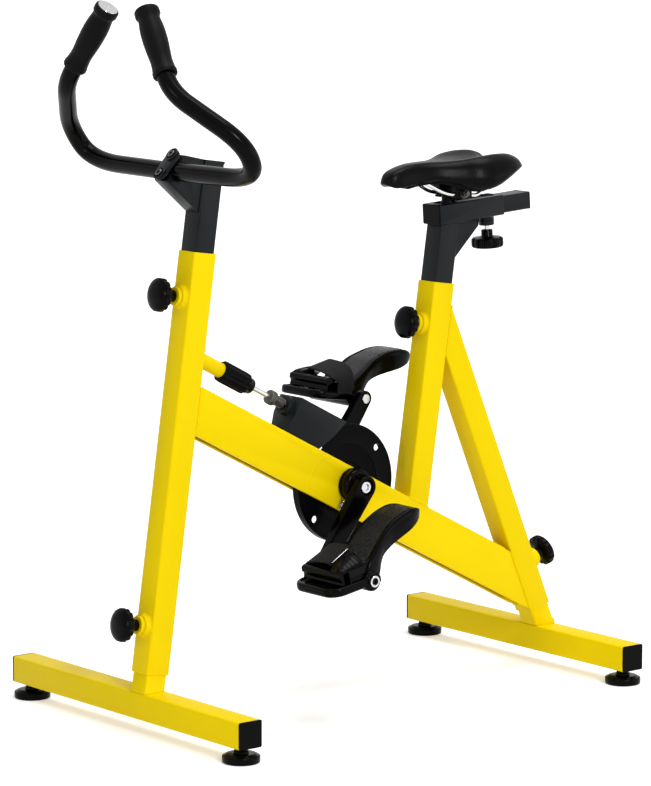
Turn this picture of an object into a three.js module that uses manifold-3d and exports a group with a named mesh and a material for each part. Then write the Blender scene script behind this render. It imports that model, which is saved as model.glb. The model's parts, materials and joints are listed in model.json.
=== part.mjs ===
import * as THREE from 'three';
import { mergeVertices } from 'three/addons/utils/BufferGeometryUtils.js';
import Module from 'manifold-3d';

const wasm = await Module();
wasm.setup();

// An exercise bike for use in water. It stands on z = 0, with +X to the rider's left, -Y to the front and
// +Z up. Lengths are in millimetres and angles in degrees. The crank axle, the mast, the beam, the seat
// tube and the rear strut share the plane x = 0 until the whole bike is centred at the end.

// Clearances that every piece shares
const seatGap = 0.3;
const slipGap = 0.5;
const runningGap = 0.4;
const overrun = 6;

// Square tube of the frame and the smaller tube that telescopes into it
const tubeSize = 45;
const tubeWall = 2;
const tubeCorner = 3;

// Base bars, their end caps and their feet
const footHeight = 26;
const footRadius = 31;
const footDiscHeight = 15;
const footEdgeDrop = 4;
const footBevel = 1.5;
const footNeckRadius = 9;
const footStemRadius = 6;
const footStemRise = 10;
const footInset = 26;
const frontBarY = -394.2;
const frontBarShift = -42.1;
const frontBarLength = 628;
const rearBarY = 465.8;
const rearBarShift = -45.5;
const rearBarLength = 575;
const capFlange = 4;
const capPlugDepth = 12;
const capBevel = 1;

// Front mast, rear strut and the legs inside them
const mastLean = 8.43;
const mastLift = 29.4;
const mastLength = 695;
const strutLean = 22.96;
const strutLift = 34.8;
const legInside = 260;
const beadHeight = 3.5;
const beadSpread = 2.2;

// Seat tube and seat post
const seatTubeLean = 8.51;
const seatTubeY = 170.7;
const seatTubeZ = 341;
const seatTubeTop = 362.7;
const seatPostTop = 464.5;
const seatPostInside = 200;
const gussetReach = 58;
const gussetDrop = 76;
const gussetRise = 78;
const gussetWidth = 6;
const gussetSink = 1;

// Main beam, seen along its own slope about the crank axle
const crankY = 17;
const crankZ = 373;
const beamSlope = 27.65;
const beamTop = 27.7;
const beamBottom = -48.3;
const beamWall = 2.5;
const beamLip = 7;
const beamTongueInset = 1.2;
const beamTongueReach = 10;
const beamTongueOverlap = 12;
const beamSlotFront = -176;
const beamSlotRear = 104;

// Cranks, axle and bearings
const crankLength = 158;
const crankAngle = 35.5;
const crankHalfWidth = 20;
const crankEndHalfWidth = 14;
const crankThickness = 16;
const crankInnerFace = 50;
const crankBevel = 1.5;
const axleRadius = 12;
const axleNoseRadius = 9;
const bearingRadius = 28.5;
const bearingWidth = 24;
const bearingBevel = 3;
const boltPocketRadius = 14;
const boltPocketDepth = 6;
const crankBoltRadius = 10;
const crankBoltHeight = 4.5;

// Brake drum
const drumRadius = 102;
const drumFace = 9;
const drumWidth = 17;
const drumWeb = 4;
const drumRim = 4;
const drumRidgeRadius = 66;
const drumRidgeRise = 0.8;
const drumRidgeWidth = 2.4;
const drumHubRadius = 20;
const drumHoleRadius = 6.2;
const drumHoleCircle = 87;
const drumHoles = 4;
const drumHoleTurn = 74.5;

// Brake housing, shoe and adjuster, seen along the beam
const housingTop = 90;
const housingShoulder = 58;
const housingHalfWidth = 29;
const housingWaist = 19.5;
const housingBottom = 20;
const housingFront = -172;
const housingWall = 2.5;
const housingRearTop = -63;
const housingRearBottom = -90;
const adjusterRise = 70.4;
const housingBossRadius = 17;
const housingBossLength = 10;
const springWellRadius = 10.5;
const springWellDepth = 6;
const shoeFront = -122;
const shoeTop = 85;
const shoeBottom = 52;
const shoeRear = -52;
const shoeHalfWidth = 12;
const shoeGap = 2.5;
const adjusterTubeRadius = 12.5;
const adjusterTubeWall = 2;
const adjusterTubeEnd = -329;
const handleRear = -259;
const handleRadius = 18.5;
const handleGroove = 1.6;
const handleRibs = 12;
const handleNeckRadius = 14;
const handleNeckLength = 12;
const handleShankLength = 16;
const handleBevel = 1.5;
const adjusterRodRadius = 4.4;
const adjusterRodStart = -335;
const adjusterRodPlay = 1.5;
const cupRear = -205;
const cupLength = 12;
const cupRadius = 12.5;
const cupWall = 2;
const springWire = 2;
const springMeanRadius = 8;
const springPitch = 3.4;
const springCurls = 9;

// Clamping knobs
const knobRadius = 28;
const knobRimHeight = 13;
const knobDome = 6;
const knobDomeRadius = 22;
const knobDomeShoulder = 19;
const knobDomeDrop = 3;
const knobDomeInner = 11;
const knobDomeInnerDrop = 0.9;
const knobRibs = 14;
const knobGroove = 1.8;
const knobBevel = 1.5;
const knobHubRadius = 10;
const knobShankRadius = 5;
const bossBaseRadius = 18.5;
const bossBaseHeight = 10;
const bossTipRadius = 15;
const bossTipHeight = 6;
const mastKnobReach = 56;
const upperKnobDrop = 75;
const lowerKnobHeight = 79;
const seatKnobReach = 45;
const seatKnobDrop = 73.6;
const strutKnobReach = 46;
const strutKnobHeight = 83;
const sleeveKnobReach = 56;
const sleeveKnobPlace = 97.8;

// Handlebar post, stem and bar
const postAbove = 148;
const postInside = 200;
const barReach = 67.2;
const barDrop = 22.1;
const barRadius = 15;
const stemTilt = 33.1;
const stemWidth = 34;
const stemWall = 4;
const stemStrap = 3;
const stemFront = 10;
const stemHalfHeight = 27;
const stemDrop = 84;
const stemTopPlate = 3;
const clampPlateThickness = 4;
const clampPlateWidth = 34;
const clampPlateHeight = 62;
const clampPlateCorner = 11.5;
const clampPlateBevel = 0.75;
const clampBoltSpacing = 38.5;
const clampBoltRadius = 3.8;
const clampBoltHead = 6.5;
const clampBoltHeadHeight = 5;
const clampBoltReach = 24;
const barShoulderX = 222;
const barShoulderForward = 2;
const barShoulderRise = 2;
const barElbowX = 240;
const barElbowForward = 36;
const barElbowRise = 60;
const barKneeX = 142;
const barKneeForward = 110;
const barKneeRise = 141;
const barTipX = 52;
const barTipForward = 90;
const barTipRise = 265;
const shoulderBend = 80;
const shoulderExit = 34;
const elbowBend = 34;
const elbowExit = 50;
const kneeBend = 35;
const kneeExit = 30;
const gripLength = 124;
const gripCap = 4;
const gripCollarRadius = 20;
const gripWaistRadius = 17.6;
const gripPalmRadius = 20.3;
const gripRimRadius = 20.5;

// Slider sleeve, saddle slider and saddle clamp
const sleeveTilt = 3.72;
const sleeveAhead = 24.1;
const sleeveLength = 143.8;
const sleeveHeight = 35;
const sleeveFrontWall = 3;
const slotHalfWidth = 14;
const slotFront = -15;
const slotRear = 115.5;
const sleeveBossRadius = 13;
const sleeveBossHeight = 16;
const sleeveBoltShow = 8;
const sliderFront = -5;
const sliderRear = 180.5;
const sliderEndWall = 3;
const saddleNeckRadius = 12;
const neckPlace = 14;
const pivotPlace = 25.9;
const pivotRise = 50;
const clampDrumRadius = 12.5;
const clampDrumHalfWidth = 15;
const yokeInside = 15.5;
const yokeOutside = 28;
const yokeHalfLength = 18;
const yokeTop = 21;
const yokeBottom = -9;
const yokeBridge = 6;
const railRadius = 3.5;
const railHalfSpacing = 22;
const railRearY = 62;
const railRearZ = 30;
const railHeelY = 46;
const railHeelZ = 1;
const railBackY = 33;
const railBackZ = -6;
const railFrontY = -36;
const railFrontZ = 0;
const railRiseY = -84;
const railRiseZ = 25;
const railRiseX = 12;
const railNoseY = -110;
const railNoseZ = 29;
const railNoseX = 9;
const railHeelBend = 8;
const railBackBend = 7;
const railFrontBend = 18;
const railRiseBend = 12;

// Saddle
const saddleNose = 158;
const saddleLength = 273;
const saddleHalfWidth = 79;
const saddleHeight = 66;
const saddleFloor = 6;
const saddleNotch = 30;
const shellDepth = 4;
const shellInset = 1.5;
const shellGap = 0.7;
const socketMargin = 7;
const socketDepth = 14;
const noseSocketHalf = 14;
const noseSocketRise = 6;
const rearSocketRise = 4;

// Pedals, seen from the spindle with the heel to the rear
const pedalInside = 79;
const pedalWidth = 114;
const pedalBossRadius = 17.5;
const spindleRadius = 8;
const spindleHeadRadius = 9.5;
const spindleHeadHeight = 6;
const spindleInnerEnd = 47.5;
const toeReach = 85;
const toeThickness = 15;
const toeCorner = 26;
const heelReach = 150;
const heelRise = 86;
const heelWidth = 68;
const heelCorner = 22;
const heelPadThickness = 3;
const heelPadMargin = 9;
const leftPedalTilt = 10;
const rightPedalTilt = -8;
const strapFront = -62;
const strapRear = -4;
const strapTop = 56;
const strapWall = 6;
const strapFootInset = 6;
const strapSlopeWidth = 42;
const strapSlopeDrop = 25;

// How finely round shapes are stepped
const cornerSteps = 2;
const roundSteps = 18;
const smallSteps = 10;
const barSides = 10;
const barSteps = 64;
const railSides = 6;
const springSides = 5;
const springSteps = 8;
const railSteps = 44;

// Sizes that follow from the ones above
const tubeHalf = tubeSize / 2;
const handleFront = adjusterTubeEnd + seatGap;
const innerSize = tubeSize - 2 * tubeWall - 2 * slipGap;
const innerHalf = innerSize / 2;
const barTop = footHeight + tubeSize;
const plateInside = tubeHalf - beamWall;
const postTop = mastLift + mastLength + postAbove;
const postLength = postAbove + postInside;
const bearingOutside = tubeHalf + seatGap + bearingWidth;
const crankOuterFace = crankInnerFace + crankThickness;
const sliderHeight = sleeveHeight - 2 * tubeWall - 2 * slipGap;
const pedalOutside = pedalInside + pedalWidth;
const cutterSize = 2 * (mastLength + tubeSize);

const finishes = {
  yellow: { color: 0xf5cf00, roughness: 0.35, metalness: 0 },
  blackCoat: { color: 0x24282b, roughness: 0.45, metalness: 0.1 },
  blackPlastic: { color: 0x101112, roughness: 0.3, metalness: 0 },
  foam: { color: 0x1a1b1c, roughness: 0.7, metalness: 0 },
  vinyl: { color: 0x141516, roughness: 0.4, metalness: 0 },
  steel: { color: 0xc8ccce, roughness: 0.25, metalness: 1 },
};

const degrees = THREE.MathUtils.degToRad;
const turnToX = [0, Math.PI / 2, 0];
const turnToRear = [-Math.PI / 2, 0, 0];
const turnToFront = [Math.PI / 2, 0, 0];
const turnDown = [Math.PI, 0, 0];

// One closed shell with shared vertices and its faces pointing out
function welded(geometry) {
  const bare = geometry.clone();
  bare.deleteAttribute('uv');
  bare.deleteAttribute('normal');
  const shell = mergeVertices(bare);
  const corners = shell.index.array;
  const kept = [];
  for (let i = 0; i < corners.length; i += 3) {
    const [a, b, c] = [corners[i], corners[i + 1], corners[i + 2]];
    if (a !== b && b !== c && c !== a) {
      kept.push(a, b, c);
    }
  }
  shell.setIndex(kept);
  if (signedVolume(shell) < 0) {
    kept.reverse();
    shell.setIndex(kept);
  }
  return shell;
}

function signedVolume(shell) {
  const place = shell.attributes.position;
  const corners = shell.index.array;
  const [a, b, c] = [new THREE.Vector3(), new THREE.Vector3(), new THREE.Vector3()];
  let total = 0;
  for (let i = 0; i < corners.length; i += 3) {
    a.fromBufferAttribute(place, corners[i]);
    b.fromBufferAttribute(place, corners[i + 1]);
    c.fromBufferAttribute(place, corners[i + 2]);
    total += a.dot(b.cross(c));
  }
  return total;
}

function solidOf(geometry) {
  const shell = welded(geometry);
  return new wasm.Manifold(new wasm.Mesh({
    numProp: 3,
    vertProperties: new Float32Array(shell.attributes.position.array),
    triVerts: new Uint32Array(shell.index.array),
  }));
}

function geometryOf(solid) {
  const mesh = solid.getMesh();
  const geometry = new THREE.BufferGeometry();
  geometry.setAttribute('position', new THREE.BufferAttribute(new Float32Array(mesh.vertProperties), 3));
  geometry.setIndex(Array.from(mesh.triVerts));
  return geometry;
}

function cut(base, ...tools) {
  return geometryOf(tools.reduce((solid, tool) => solid.subtract(solidOf(tool)), solidOf(base)));
}

function join(base, ...others) {
  return geometryOf(others.reduce((solid, other) => solid.add(solidOf(other)), solidOf(base)));
}

function common(base, other) {
  return geometryOf(solidOf(base).intersect(solidOf(other)));
}

function placed(geometry, place, turn = [0, 0, 0]) {
  const matrix = new THREE.Matrix4().makeRotationFromEuler(new THREE.Euler(...turn));
  matrix.setPosition(...place);
  return geometry.clone().applyMatrix4(matrix);
}

// A shape made in one group's frame, seen from another group's frame
function seenFrom(group, geometry, home) {
  group.updateWorldMatrix(true, false);
  home.updateWorldMatrix(true, false);
  return geometry.clone().applyMatrix4(home.matrixWorld).applyMatrix4(group.matrixWorld.clone().invert());
}

// A box given by its low and high corners
function block(low, high) {
  const size = high.map((value, i) => value - low[i]);
  return placed(new THREE.BoxGeometry(...size), high.map((value, i) => (value + low[i]) / 2));
}

function extruded(shape, depth, bevel = 0) {
  const geometry = new THREE.ExtrudeGeometry(shape, {
    depth: depth - 2 * bevel,
    bevelEnabled: bevel > 0,
    bevelThickness: bevel,
    bevelSize: bevel,
    bevelOffset: -bevel,
    bevelSegments: 1,
    curveSegments: cornerSteps,
    steps: 1,
  });
  return placed(geometry, [0, 0, bevel]);
}

function outlineOf(points) {
  return new THREE.Shape(points.map(([x, y]) => new THREE.Vector2(x, y)));
}

// A side outline, given as points along Y and up Z, with its thickness spread about x = 0
function sidePlate(points, from, to, bevel = 0) {
  const flat = extruded(outlineOf(points), to - from, bevel);
  const matrix = new THREE.Matrix4().set(0, 0, 1, from, 1, 0, 0, 0, 0, 1, 0, 0, 0, 0, 0, 1);
  return flat.applyMatrix4(matrix);
}

// A round solid about Z, from a profile of radius and height
function turned(profile, steps = roundSteps) {
  const points = profile.map(([radius, height]) => new THREE.Vector2(radius, height));
  const lathe = new THREE.LatheGeometry(points, steps);
  return placed(lathe, [0, 0, 0], [Math.PI / 2, 0, 0]);
}

function disc(radius, from, to, steps = roundSteps) {
  return turned([[0, from], [radius, from], [radius, to], [0, to]], steps);
}

function bevelledDisc(radius, from, to, bevel, steps = roundSteps) {
  return turned([
    [0, from],
    [radius - bevel, from],
    [radius, from + bevel],
    [radius, to - bevel],
    [radius - bevel, to],
    [0, to],
  ], steps);
}

function roundedRectangle(width, height, corner) {
  const shape = new THREE.Shape();
  const x = width / 2 - corner;
  const y = height / 2 - corner;
  shape.absarc(x, y, corner, 0, Math.PI / 2, false);
  shape.absarc(-x, y, corner, Math.PI / 2, Math.PI, false);
  shape.absarc(-x, -y, corner, Math.PI, 3 * Math.PI / 2, false);
  shape.absarc(x, -y, corner, 3 * Math.PI / 2, 2 * Math.PI, false);
  return shape;
}

// Rectangular tube along Z, open at both ends
function tube(width, height, wall, from, to) {
  const shape = roundedRectangle(width, height, tubeCorner);
  const corner = Math.max(tubeCorner - wall, wall / 2);
  shape.holes.push(roundedRectangle(width - 2 * wall, height - 2 * wall, corner));
  return placed(extruded(shape, to - from), [0, 0, from]);
}

// A round outline with shallow finger grooves
function grooved(radius, groove, ribs) {
  const points = [];
  for (let i = 0; i < 2 * ribs; i += 1) {
    const angle = Math.PI * i / ribs;
    const reach = i % 2 === 0 ? radius : radius - groove;
    points.push([reach * Math.cos(angle), reach * Math.sin(angle)]);
  }
  return outlineOf(points);
}

function mirrored(geometry) {
  return geometry.clone().applyMatrix4(new THREE.Matrix4().makeScale(-1, 1, 1));
}

function frameAt(parent, place, lean = 0) {
  const group = new THREE.Group();
  group.position.set(...place);
  group.rotation.x = degrees(lean);
  parent.add(group);
  return group;
}

function add(group, name, finish, geometry) {
  const shell = welded(geometry);
  shell.computeVertexNormals();
  const mesh = new THREE.Mesh(shell, new THREE.MeshStandardMaterial(finishes[finish]));
  mesh.name = name;
  group.add(mesh);
  return mesh;
}

// Local frames of the bike's main members
const bike = new THREE.Group();
const mastFrame = frameAt(bike, [0, frontBarY, barTop], -mastLean);
const strutFrame = frameAt(bike, [0, rearBarY, barTop], strutLean);
const seatFrame = frameAt(bike, [0, seatTubeY, seatTubeZ], -seatTubeLean);
const beamFrame = frameAt(bike, [0, crankY, crankZ], -beamSlope);
const sleeveFrame = frameAt(seatFrame, [0, 0, seatPostTop], seatTubeLean + sleeveTilt);
const saddleFrame = frameAt(sleeveFrame, [0, pivotPlace, pivotRise], -sleeveTilt);
const crankFrame = frameAt(bike, [0, crankY, crankZ], -crankAngle);
const stemFrame = frameAt(mastFrame, [0, 0, postTop]);
const clampFrame = frameAt(stemFrame, [0, -barReach, -barDrop], -stemTilt);
const barFrame = frameAt(bike, [0, 0, 0]);
clampFrame.updateWorldMatrix(true, false);
barFrame.position.setFromMatrixPosition(clampFrame.matrixWorld);

// Everything on one side of a plane square to a member's own Y or Z
function farSide(axis, from, direction) {
  const low = [-cutterSize, -cutterSize, -cutterSize];
  const high = [cutterSize, cutterSize, cutterSize];
  if (direction > 0) {
    low[axis] = from;
  } else {
    high[axis] = from;
  }
  return block(low, high);
}

// A base bar with the holes of its two feet, and what is fixed to it
function base(prefix, y, shift, length, member, lift) {
  const half = length / 2;
  const barFrameHere = frameAt(bike, [shift, y, footHeight + tubeHalf]);
  const footPlace = half + capFlange - footInset;
  const along = placed(tube(tubeSize, tubeSize, tubeWall, -half, half), [0, 0, 0], turnToX);
  const stemHole = disc(footStemRadius + slipGap, -tubeSize, 0, smallSteps);
  const holes = [-footPlace, footPlace].map((x) => placed(stemHole, [x, 0, 0]));
  add(barFrameHere, `${prefix}_base_bar`, 'yellow', cut(along, ...holes));
  for (const [side, direction] of [['left', 1], ['right', -1]]) {
    const cap = placed(endCap(), [direction * (half + seatGap), 0, 0], [0, direction * Math.PI / 2, 0]);
    add(barFrameHere, `${prefix}_cap_${side}`, 'blackPlastic', cap);
    const foot = placed(levellingFoot(), [direction * footPlace, 0, -tubeHalf - footHeight]);
    add(barFrameHere, `${prefix}_foot_${side}`, 'blackPlastic', foot);
  }
  add(member, `${prefix}_leg_tube`, 'yellow', leg(member, lift));
}

// Flange outside the tube, plug inside it
function endCap() {
  const flange = extruded(roundedRectangle(tubeSize, tubeSize, tubeCorner), capFlange, capBevel);
  const plugSize = tubeSize - 2 * tubeWall - 2 * seatGap;
  const plug = extruded(roundedRectangle(plugSize, plugSize, tubeCorner), capPlugDepth + capFlange / 2);
  return join(flange, placed(plug, [0, 0, -capPlugDepth]));
}

function levellingFoot() {
  return turned([
    [0, 0],
    [footRadius - footBevel, 0],
    [footRadius, footBevel],
    [footRadius, footDiscHeight - footEdgeDrop],
    [footRadius - 2 * footEdgeDrop, footDiscHeight],
    [footNeckRadius, footDiscHeight],
    [footNeckRadius, footHeight - seatGap],
    [footStemRadius, footHeight - seatGap],
    [footStemRadius, footHeight + footStemRise],
    [0, footHeight + footStemRise],
  ]);
}

// The leg inside a mast or strut, cut level on its base bar, with the weld bead round its foot
function leg(member, lift) {
  const below = placed(block([-cutterSize, -cutterSize, -cutterSize], [cutterSize, cutterSize, seatGap]),
    [0, 0, barTop]);
  const level = seenFrom(member, below, bike);
  const spread = innerSize + 2 * beadSpread;
  const bead = new THREE.ExtrudeGeometry(roundedRectangle(innerSize, innerSize, tubeCorner), {
    depth: overrun,
    bevelEnabled: true,
    bevelThickness: beadHeight,
    bevelSize: (spread - innerSize) / 2,
    bevelSegments: 1,
    curveSegments: cornerSteps,
    steps: 1,
  });
  const bore = innerSize - 2 * tubeWall;
  const hollow = extruded(roundedRectangle(bore, bore, tubeCorner / 2), cutterSize);
  const stock = tube(innerSize, innerSize, tubeWall, -tubeSize, lift + legInside);
  return cut(join(stock, cut(placed(bead, [0, 0, -overrun]), placed(hollow, [0, 0, -tubeSize]))), level);
}

// A threaded boss welded to a tube's face, made along Z from the face outward
function boss() {
  return turned([
    [0, -tubeWall / 2],
    [bossBaseRadius, -tubeWall / 2],
    [bossBaseRadius, bossBaseHeight],
    [bossTipRadius, bossBaseHeight],
    [bossTipRadius, bossBaseHeight + bossTipHeight],
    [0, bossBaseHeight + bossTipHeight],
  ]);
}

function bossBore() {
  const rise = bossBaseHeight + bossTipHeight + overrun;
  return disc(knobShankRadius + runningGap, -tubeWall - slipGap, rise, smallSteps);
}

// A tube with a boss on its front or rear face at each given height
function bossedTube(from, to, heights, turn, direction) {
  const face = direction * tubeHalf;
  const bosses = heights.map((height) => placed(boss(), [0, face, height], turn));
  const bores = heights.map((height) => placed(bossBore(), [0, face, height], turn));
  return cut(join(tube(tubeSize, tubeSize, tubeWall, from, to), ...bosses), ...bores);
}

// A clamping knob along Z from the tube's face, whose shank stops short of the inner tube
function knob(reach, collar) {
  const rim = extruded(grooved(knobRadius, knobGroove, knobRibs), knobRimHeight, knobBevel);
  const rimFrom = reach - knobRimHeight - knobDome;
  const body = turned([
    [0, -tubeWall - slipGap + runningGap],
    [knobShankRadius, -tubeWall - slipGap + runningGap],
    [knobShankRadius, collar + seatGap],
    [knobHubRadius, collar + seatGap],
    [knobHubRadius, rimFrom + knobBevel],
    [knobDomeRadius, rimFrom + knobBevel],
    [knobDomeRadius, reach - knobDome],
    [knobDomeShoulder, reach - knobDomeDrop],
    [knobDomeInner, reach - knobDomeInnerDrop],
    [0, reach],
  ]);
  return join(placed(rim, [0, 0, rimFrom]), body);
}

function addKnob(member, name, height, reach, turn, direction) {
  const collar = bossBaseHeight + bossTipHeight;
  add(member, name, 'blackPlastic', placed(knob(reach, collar), [0, direction * tubeHalf, height], turn));
}

function addMast() {
  const heights = [mastLift + mastLength - upperKnobDrop, mastLift + lowerKnobHeight];
  const mast = bossedTube(mastLift, mastLift + mastLength, heights, turnToFront, -1);
  add(mastFrame, 'mast_tube', 'yellow', mast);
  addKnob(mastFrame, 'knob_mast_upper', heights[0], mastKnobReach, turnToFront, -1);
  addKnob(mastFrame, 'knob_mast_lower', heights[1], mastKnobReach, turnToFront, -1);
}

function addSeatTube() {
  const height = seatTubeTop - seatKnobDrop;
  const seatTube = bossedTube(-tubeSize - beamTop, seatTubeTop, [height], turnToFront, -1);
  const beamCutter = seenFrom(seatFrame, farSide(2, beamTop + seatGap, -1), beamFrame);
  add(seatFrame, 'seat_tube', 'yellow', cut(seatTube, beamCutter));
  addKnob(seatFrame, 'knob_seat_tube', height, seatKnobReach, turnToFront, -1);
}

function addStrut() {
  const height = strutLift + strutKnobHeight;
  const strut = bossedTube(strutLift, cutterSize / 2, [height], turnToRear, 1);
  const seatCutter = seenFrom(strutFrame, farSide(1, tubeHalf + seatGap, -1), seatFrame);
  add(strutFrame, 'rear_strut', 'yellow', cut(strut, seatCutter));
  addKnob(strutFrame, 'knob_strut', height, strutKnobReach, turnToRear, 1);
}

// The beam's section as a channel with lips, open below, made along Y
function channel(outside, from, to) {
  const top = beamTop - outside;
  const bottom = beamBottom + outside;
  const half = tubeHalf - outside;
  const inside = half - beamWall;
  const shape = outlineOf([
    [-half, bottom],
    [-inside + beamLip, bottom],
    [-inside + beamLip, bottom + beamWall],
    [-inside, bottom + beamWall],
    [-inside, top - beamWall],
    [inside, top - beamWall],
    [inside, bottom + beamWall],
    [inside - beamLip, bottom + beamWall],
    [inside - beamLip, bottom],
    [half, bottom],
    [half, top],
    [-half, top],
  ]);
  return placed(extruded(shape, to - from), [0, to, 0], turnToFront);
}

function addBeam() {
  const reach = mastLength;
  const strutFront = farSide(1, -tubeHalf - seatGap, 1);
  const plateEnd = farSide(1, -tubeHalf - beamTongueReach, 1);
  const mastCutter = seenFrom(beamFrame, farSide(1, tubeHalf + seatGap, -1), mastFrame);
  const outer = cut(channel(0, -reach, reach), mastCutter, seenFrom(beamFrame, plateEnd, strutFrame));
  const tongueStart = farSide(1, -tubeHalf - beamTongueReach - beamTongueOverlap, -1);
  const tongue = cut(
    channel(beamTongueInset, -reach, reach),
    seenFrom(beamFrame, tongueStart, strutFrame),
    seenFrom(beamFrame, strutFront, strutFrame),
  );
  const slot = block([-plateInside, beamSlotFront, beamTop - beamWall - overrun],
    [plateInside, beamSlotRear, beamTop + overrun]);
  const axleHole = placed(disc(axleRadius + 4 * runningGap, -tubeSize, tubeSize), [0, 0, 0], turnToX);
  add(beamFrame, 'main_beam', 'yellow', cut(join(outer, tongue), slot, axleHole));
}

// Round tube of the brake adjuster, cut to the mast's rear face
function addAdjusterTube() {
  const mastCutter = seenFrom(beamFrame, farSide(1, tubeHalf + seatGap, -1), mastFrame);
  const axis = [0, 0, adjusterRise];
  const insideRadius = adjusterTubeRadius - adjusterTubeWall;
  const outside = placed(disc(adjusterTubeRadius, -mastLength, adjusterTubeEnd), axis, turnToRear);
  const bore = placed(disc(insideRadius, -mastLength - overrun, adjusterTubeEnd + overrun), axis, turnToRear);
  add(beamFrame, 'adjuster_tube', 'yellow', cut(outside, mastCutter, bore));
}

// Sheet housing over the brake, open below and behind, its rear edge slanting over the drum
function addBrakeHousing() {
  const length = -housingFront;
  const profile = (inset) => [
    [-housingWaist + inset, housingBottom],
    [-housingWaist + inset, beamTop],
    [-housingHalfWidth + inset, housingShoulder],
    [-housingHalfWidth + inset, housingTop - inset],
    [housingHalfWidth - inset, housingTop - inset],
    [housingHalfWidth - inset, housingShoulder],
    [housingWaist - inset, beamTop],
    [housingWaist - inset, housingBottom],
  ];
  const outside = placed(extruded(outlineOf(profile(0)), length), [0, 0, 0], turnToFront);
  const hollow = placed(extruded(outlineOf(profile(housingWall)), length), [0, housingWall, 0], turnToFront);
  const open = block([-housingWaist + housingWall, housingFront + housingWall, housingBottom - overrun],
    [housingWaist - housingWall, 0, housingBottom + overrun]);
  const rearEdge = [
    [housingRearTop, housingTop + overrun],
    [housingRearTop, housingTop],
    [housingRearBottom, beamTop],
    [housingRearBottom, housingBottom - overrun],
    [overrun, housingBottom - overrun],
    [overrun, housingTop + overrun],
  ];
  const behind = sidePlate(rearEdge, -tubeSize, tubeSize);
  const axis = [0, 0, adjusterRise];
  const wellFrom = housingFront - housingBossLength;
  const frontBoss = placed(disc(housingBossRadius, wellFrom, housingFront + housingWall / 2), axis, turnToRear);
  const well = placed(disc(springWellRadius, wellFrom - overrun, wellFrom + springWellDepth), axis, turnToRear);
  const rodRoom = disc(adjusterRodRadius + runningGap, wellFrom - overrun, shoeFront, smallSteps);
  const rooms = [hollow, open, behind, well, placed(rodRoom, axis, turnToRear)];
  add(beamFrame, 'brake_housing', 'blackCoat', cut(join(outside, frontBoss), ...rooms));
}

function addBrakeShoe() {
  const outline = [
    [shoeFront, shoeBottom],
    [shoeRear, shoeBottom],
    [shoeRear, shoeTop],
    [shoeFront, shoeTop],
  ];
  const drumRoom = placed(disc(drumRadius + shoeGap, -tubeSize, tubeSize, 2 * roundSteps), [0, 0, 0], turnToX);
  const shoe = sidePlate(outline, -shoeHalfWidth, shoeHalfWidth);
  add(beamFrame, 'brake_shoe', 'blackPlastic', cut(shoe, drumRoom));
}

function addAdjuster() {
  const axis = [0, 0, adjusterRise];
  const ribbedLength = handleRear - handleFront - handleNeckLength;
  const ribbed = placed(extruded(grooved(handleRadius, handleGroove, handleRibs), ribbedLength, handleBevel),
    [0, 0, handleFront]);
  const core = turned([
    [0, handleFront - handleShankLength],
    [adjusterTubeRadius - adjusterTubeWall - seatGap, handleFront - handleShankLength],
    [adjusterTubeRadius - adjusterTubeWall - seatGap, handleFront + handleBevel],
    [handleNeckRadius, handleFront + handleBevel],
    [handleNeckRadius, handleRear],
    [0, handleRear],
  ]);
  const bore = disc(adjusterRodRadius + runningGap, adjusterRodStart - adjusterRodPlay, handleRear + overrun,
    smallSteps);
  add(beamFrame, 'adjuster_handle', 'blackPlastic', placed(cut(join(ribbed, core), bore), axis, turnToRear));
  const rod = turned([
    [0, adjusterRodStart],
    [adjusterRodRadius, adjusterRodStart],
    [adjusterRodRadius, cupRear - cupLength],
    [cupRadius, cupRear - cupLength],
    [cupRadius, cupRear],
    [cupRadius - cupWall, cupRear],
    [cupRadius - cupWall, cupRear - cupLength + cupWall],
    [adjusterRodRadius, cupRear - cupLength + cupWall],
    [adjusterRodRadius, shoeFront - seatGap],
    [0, shoeFront - seatGap],
  ], smallSteps);
  add(beamFrame, 'adjuster_rod', 'steel', placed(rod, axis, turnToRear));
  const springStart = cupRear - cupLength + cupWall + seatGap;
  add(beamFrame, 'adjuster_spring', 'steel', placed(spring(springStart), axis, turnToRear));
}

// Centre line of the spring about Z: straight ends square to the cup, curls of even pitch between them
function springLine(from) {
  const points = [new THREE.Vector3(springMeanRadius, 0, from)];
  const count = springCurls * springSteps;
  for (let i = 0; i <= count; i += 1) {
    const angle = 2 * Math.PI * i / springSteps;
    const rise = from + springWire + springPitch * i / springSteps;
    const [x, y] = [springMeanRadius * Math.cos(angle), springMeanRadius * Math.sin(angle)];
    points.push(new THREE.Vector3(x, y, rise));
  }
  const last = points[points.length - 1];
  points.push(new THREE.Vector3(last.x, last.y, last.z + springWire));
  return points;
}

// The least distance between parts of the line over half a curl apart, less the wire itself
function leastSelfGap(points) {
  let least = Infinity;
  for (let i = 0; i < points.length; i += 1) {
    for (let j = i + springSteps / 2; j < points.length; j += 1) {
      least = Math.min(least, points[i].distanceTo(points[j]));
    }
  }
  return least - springWire;
}

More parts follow.
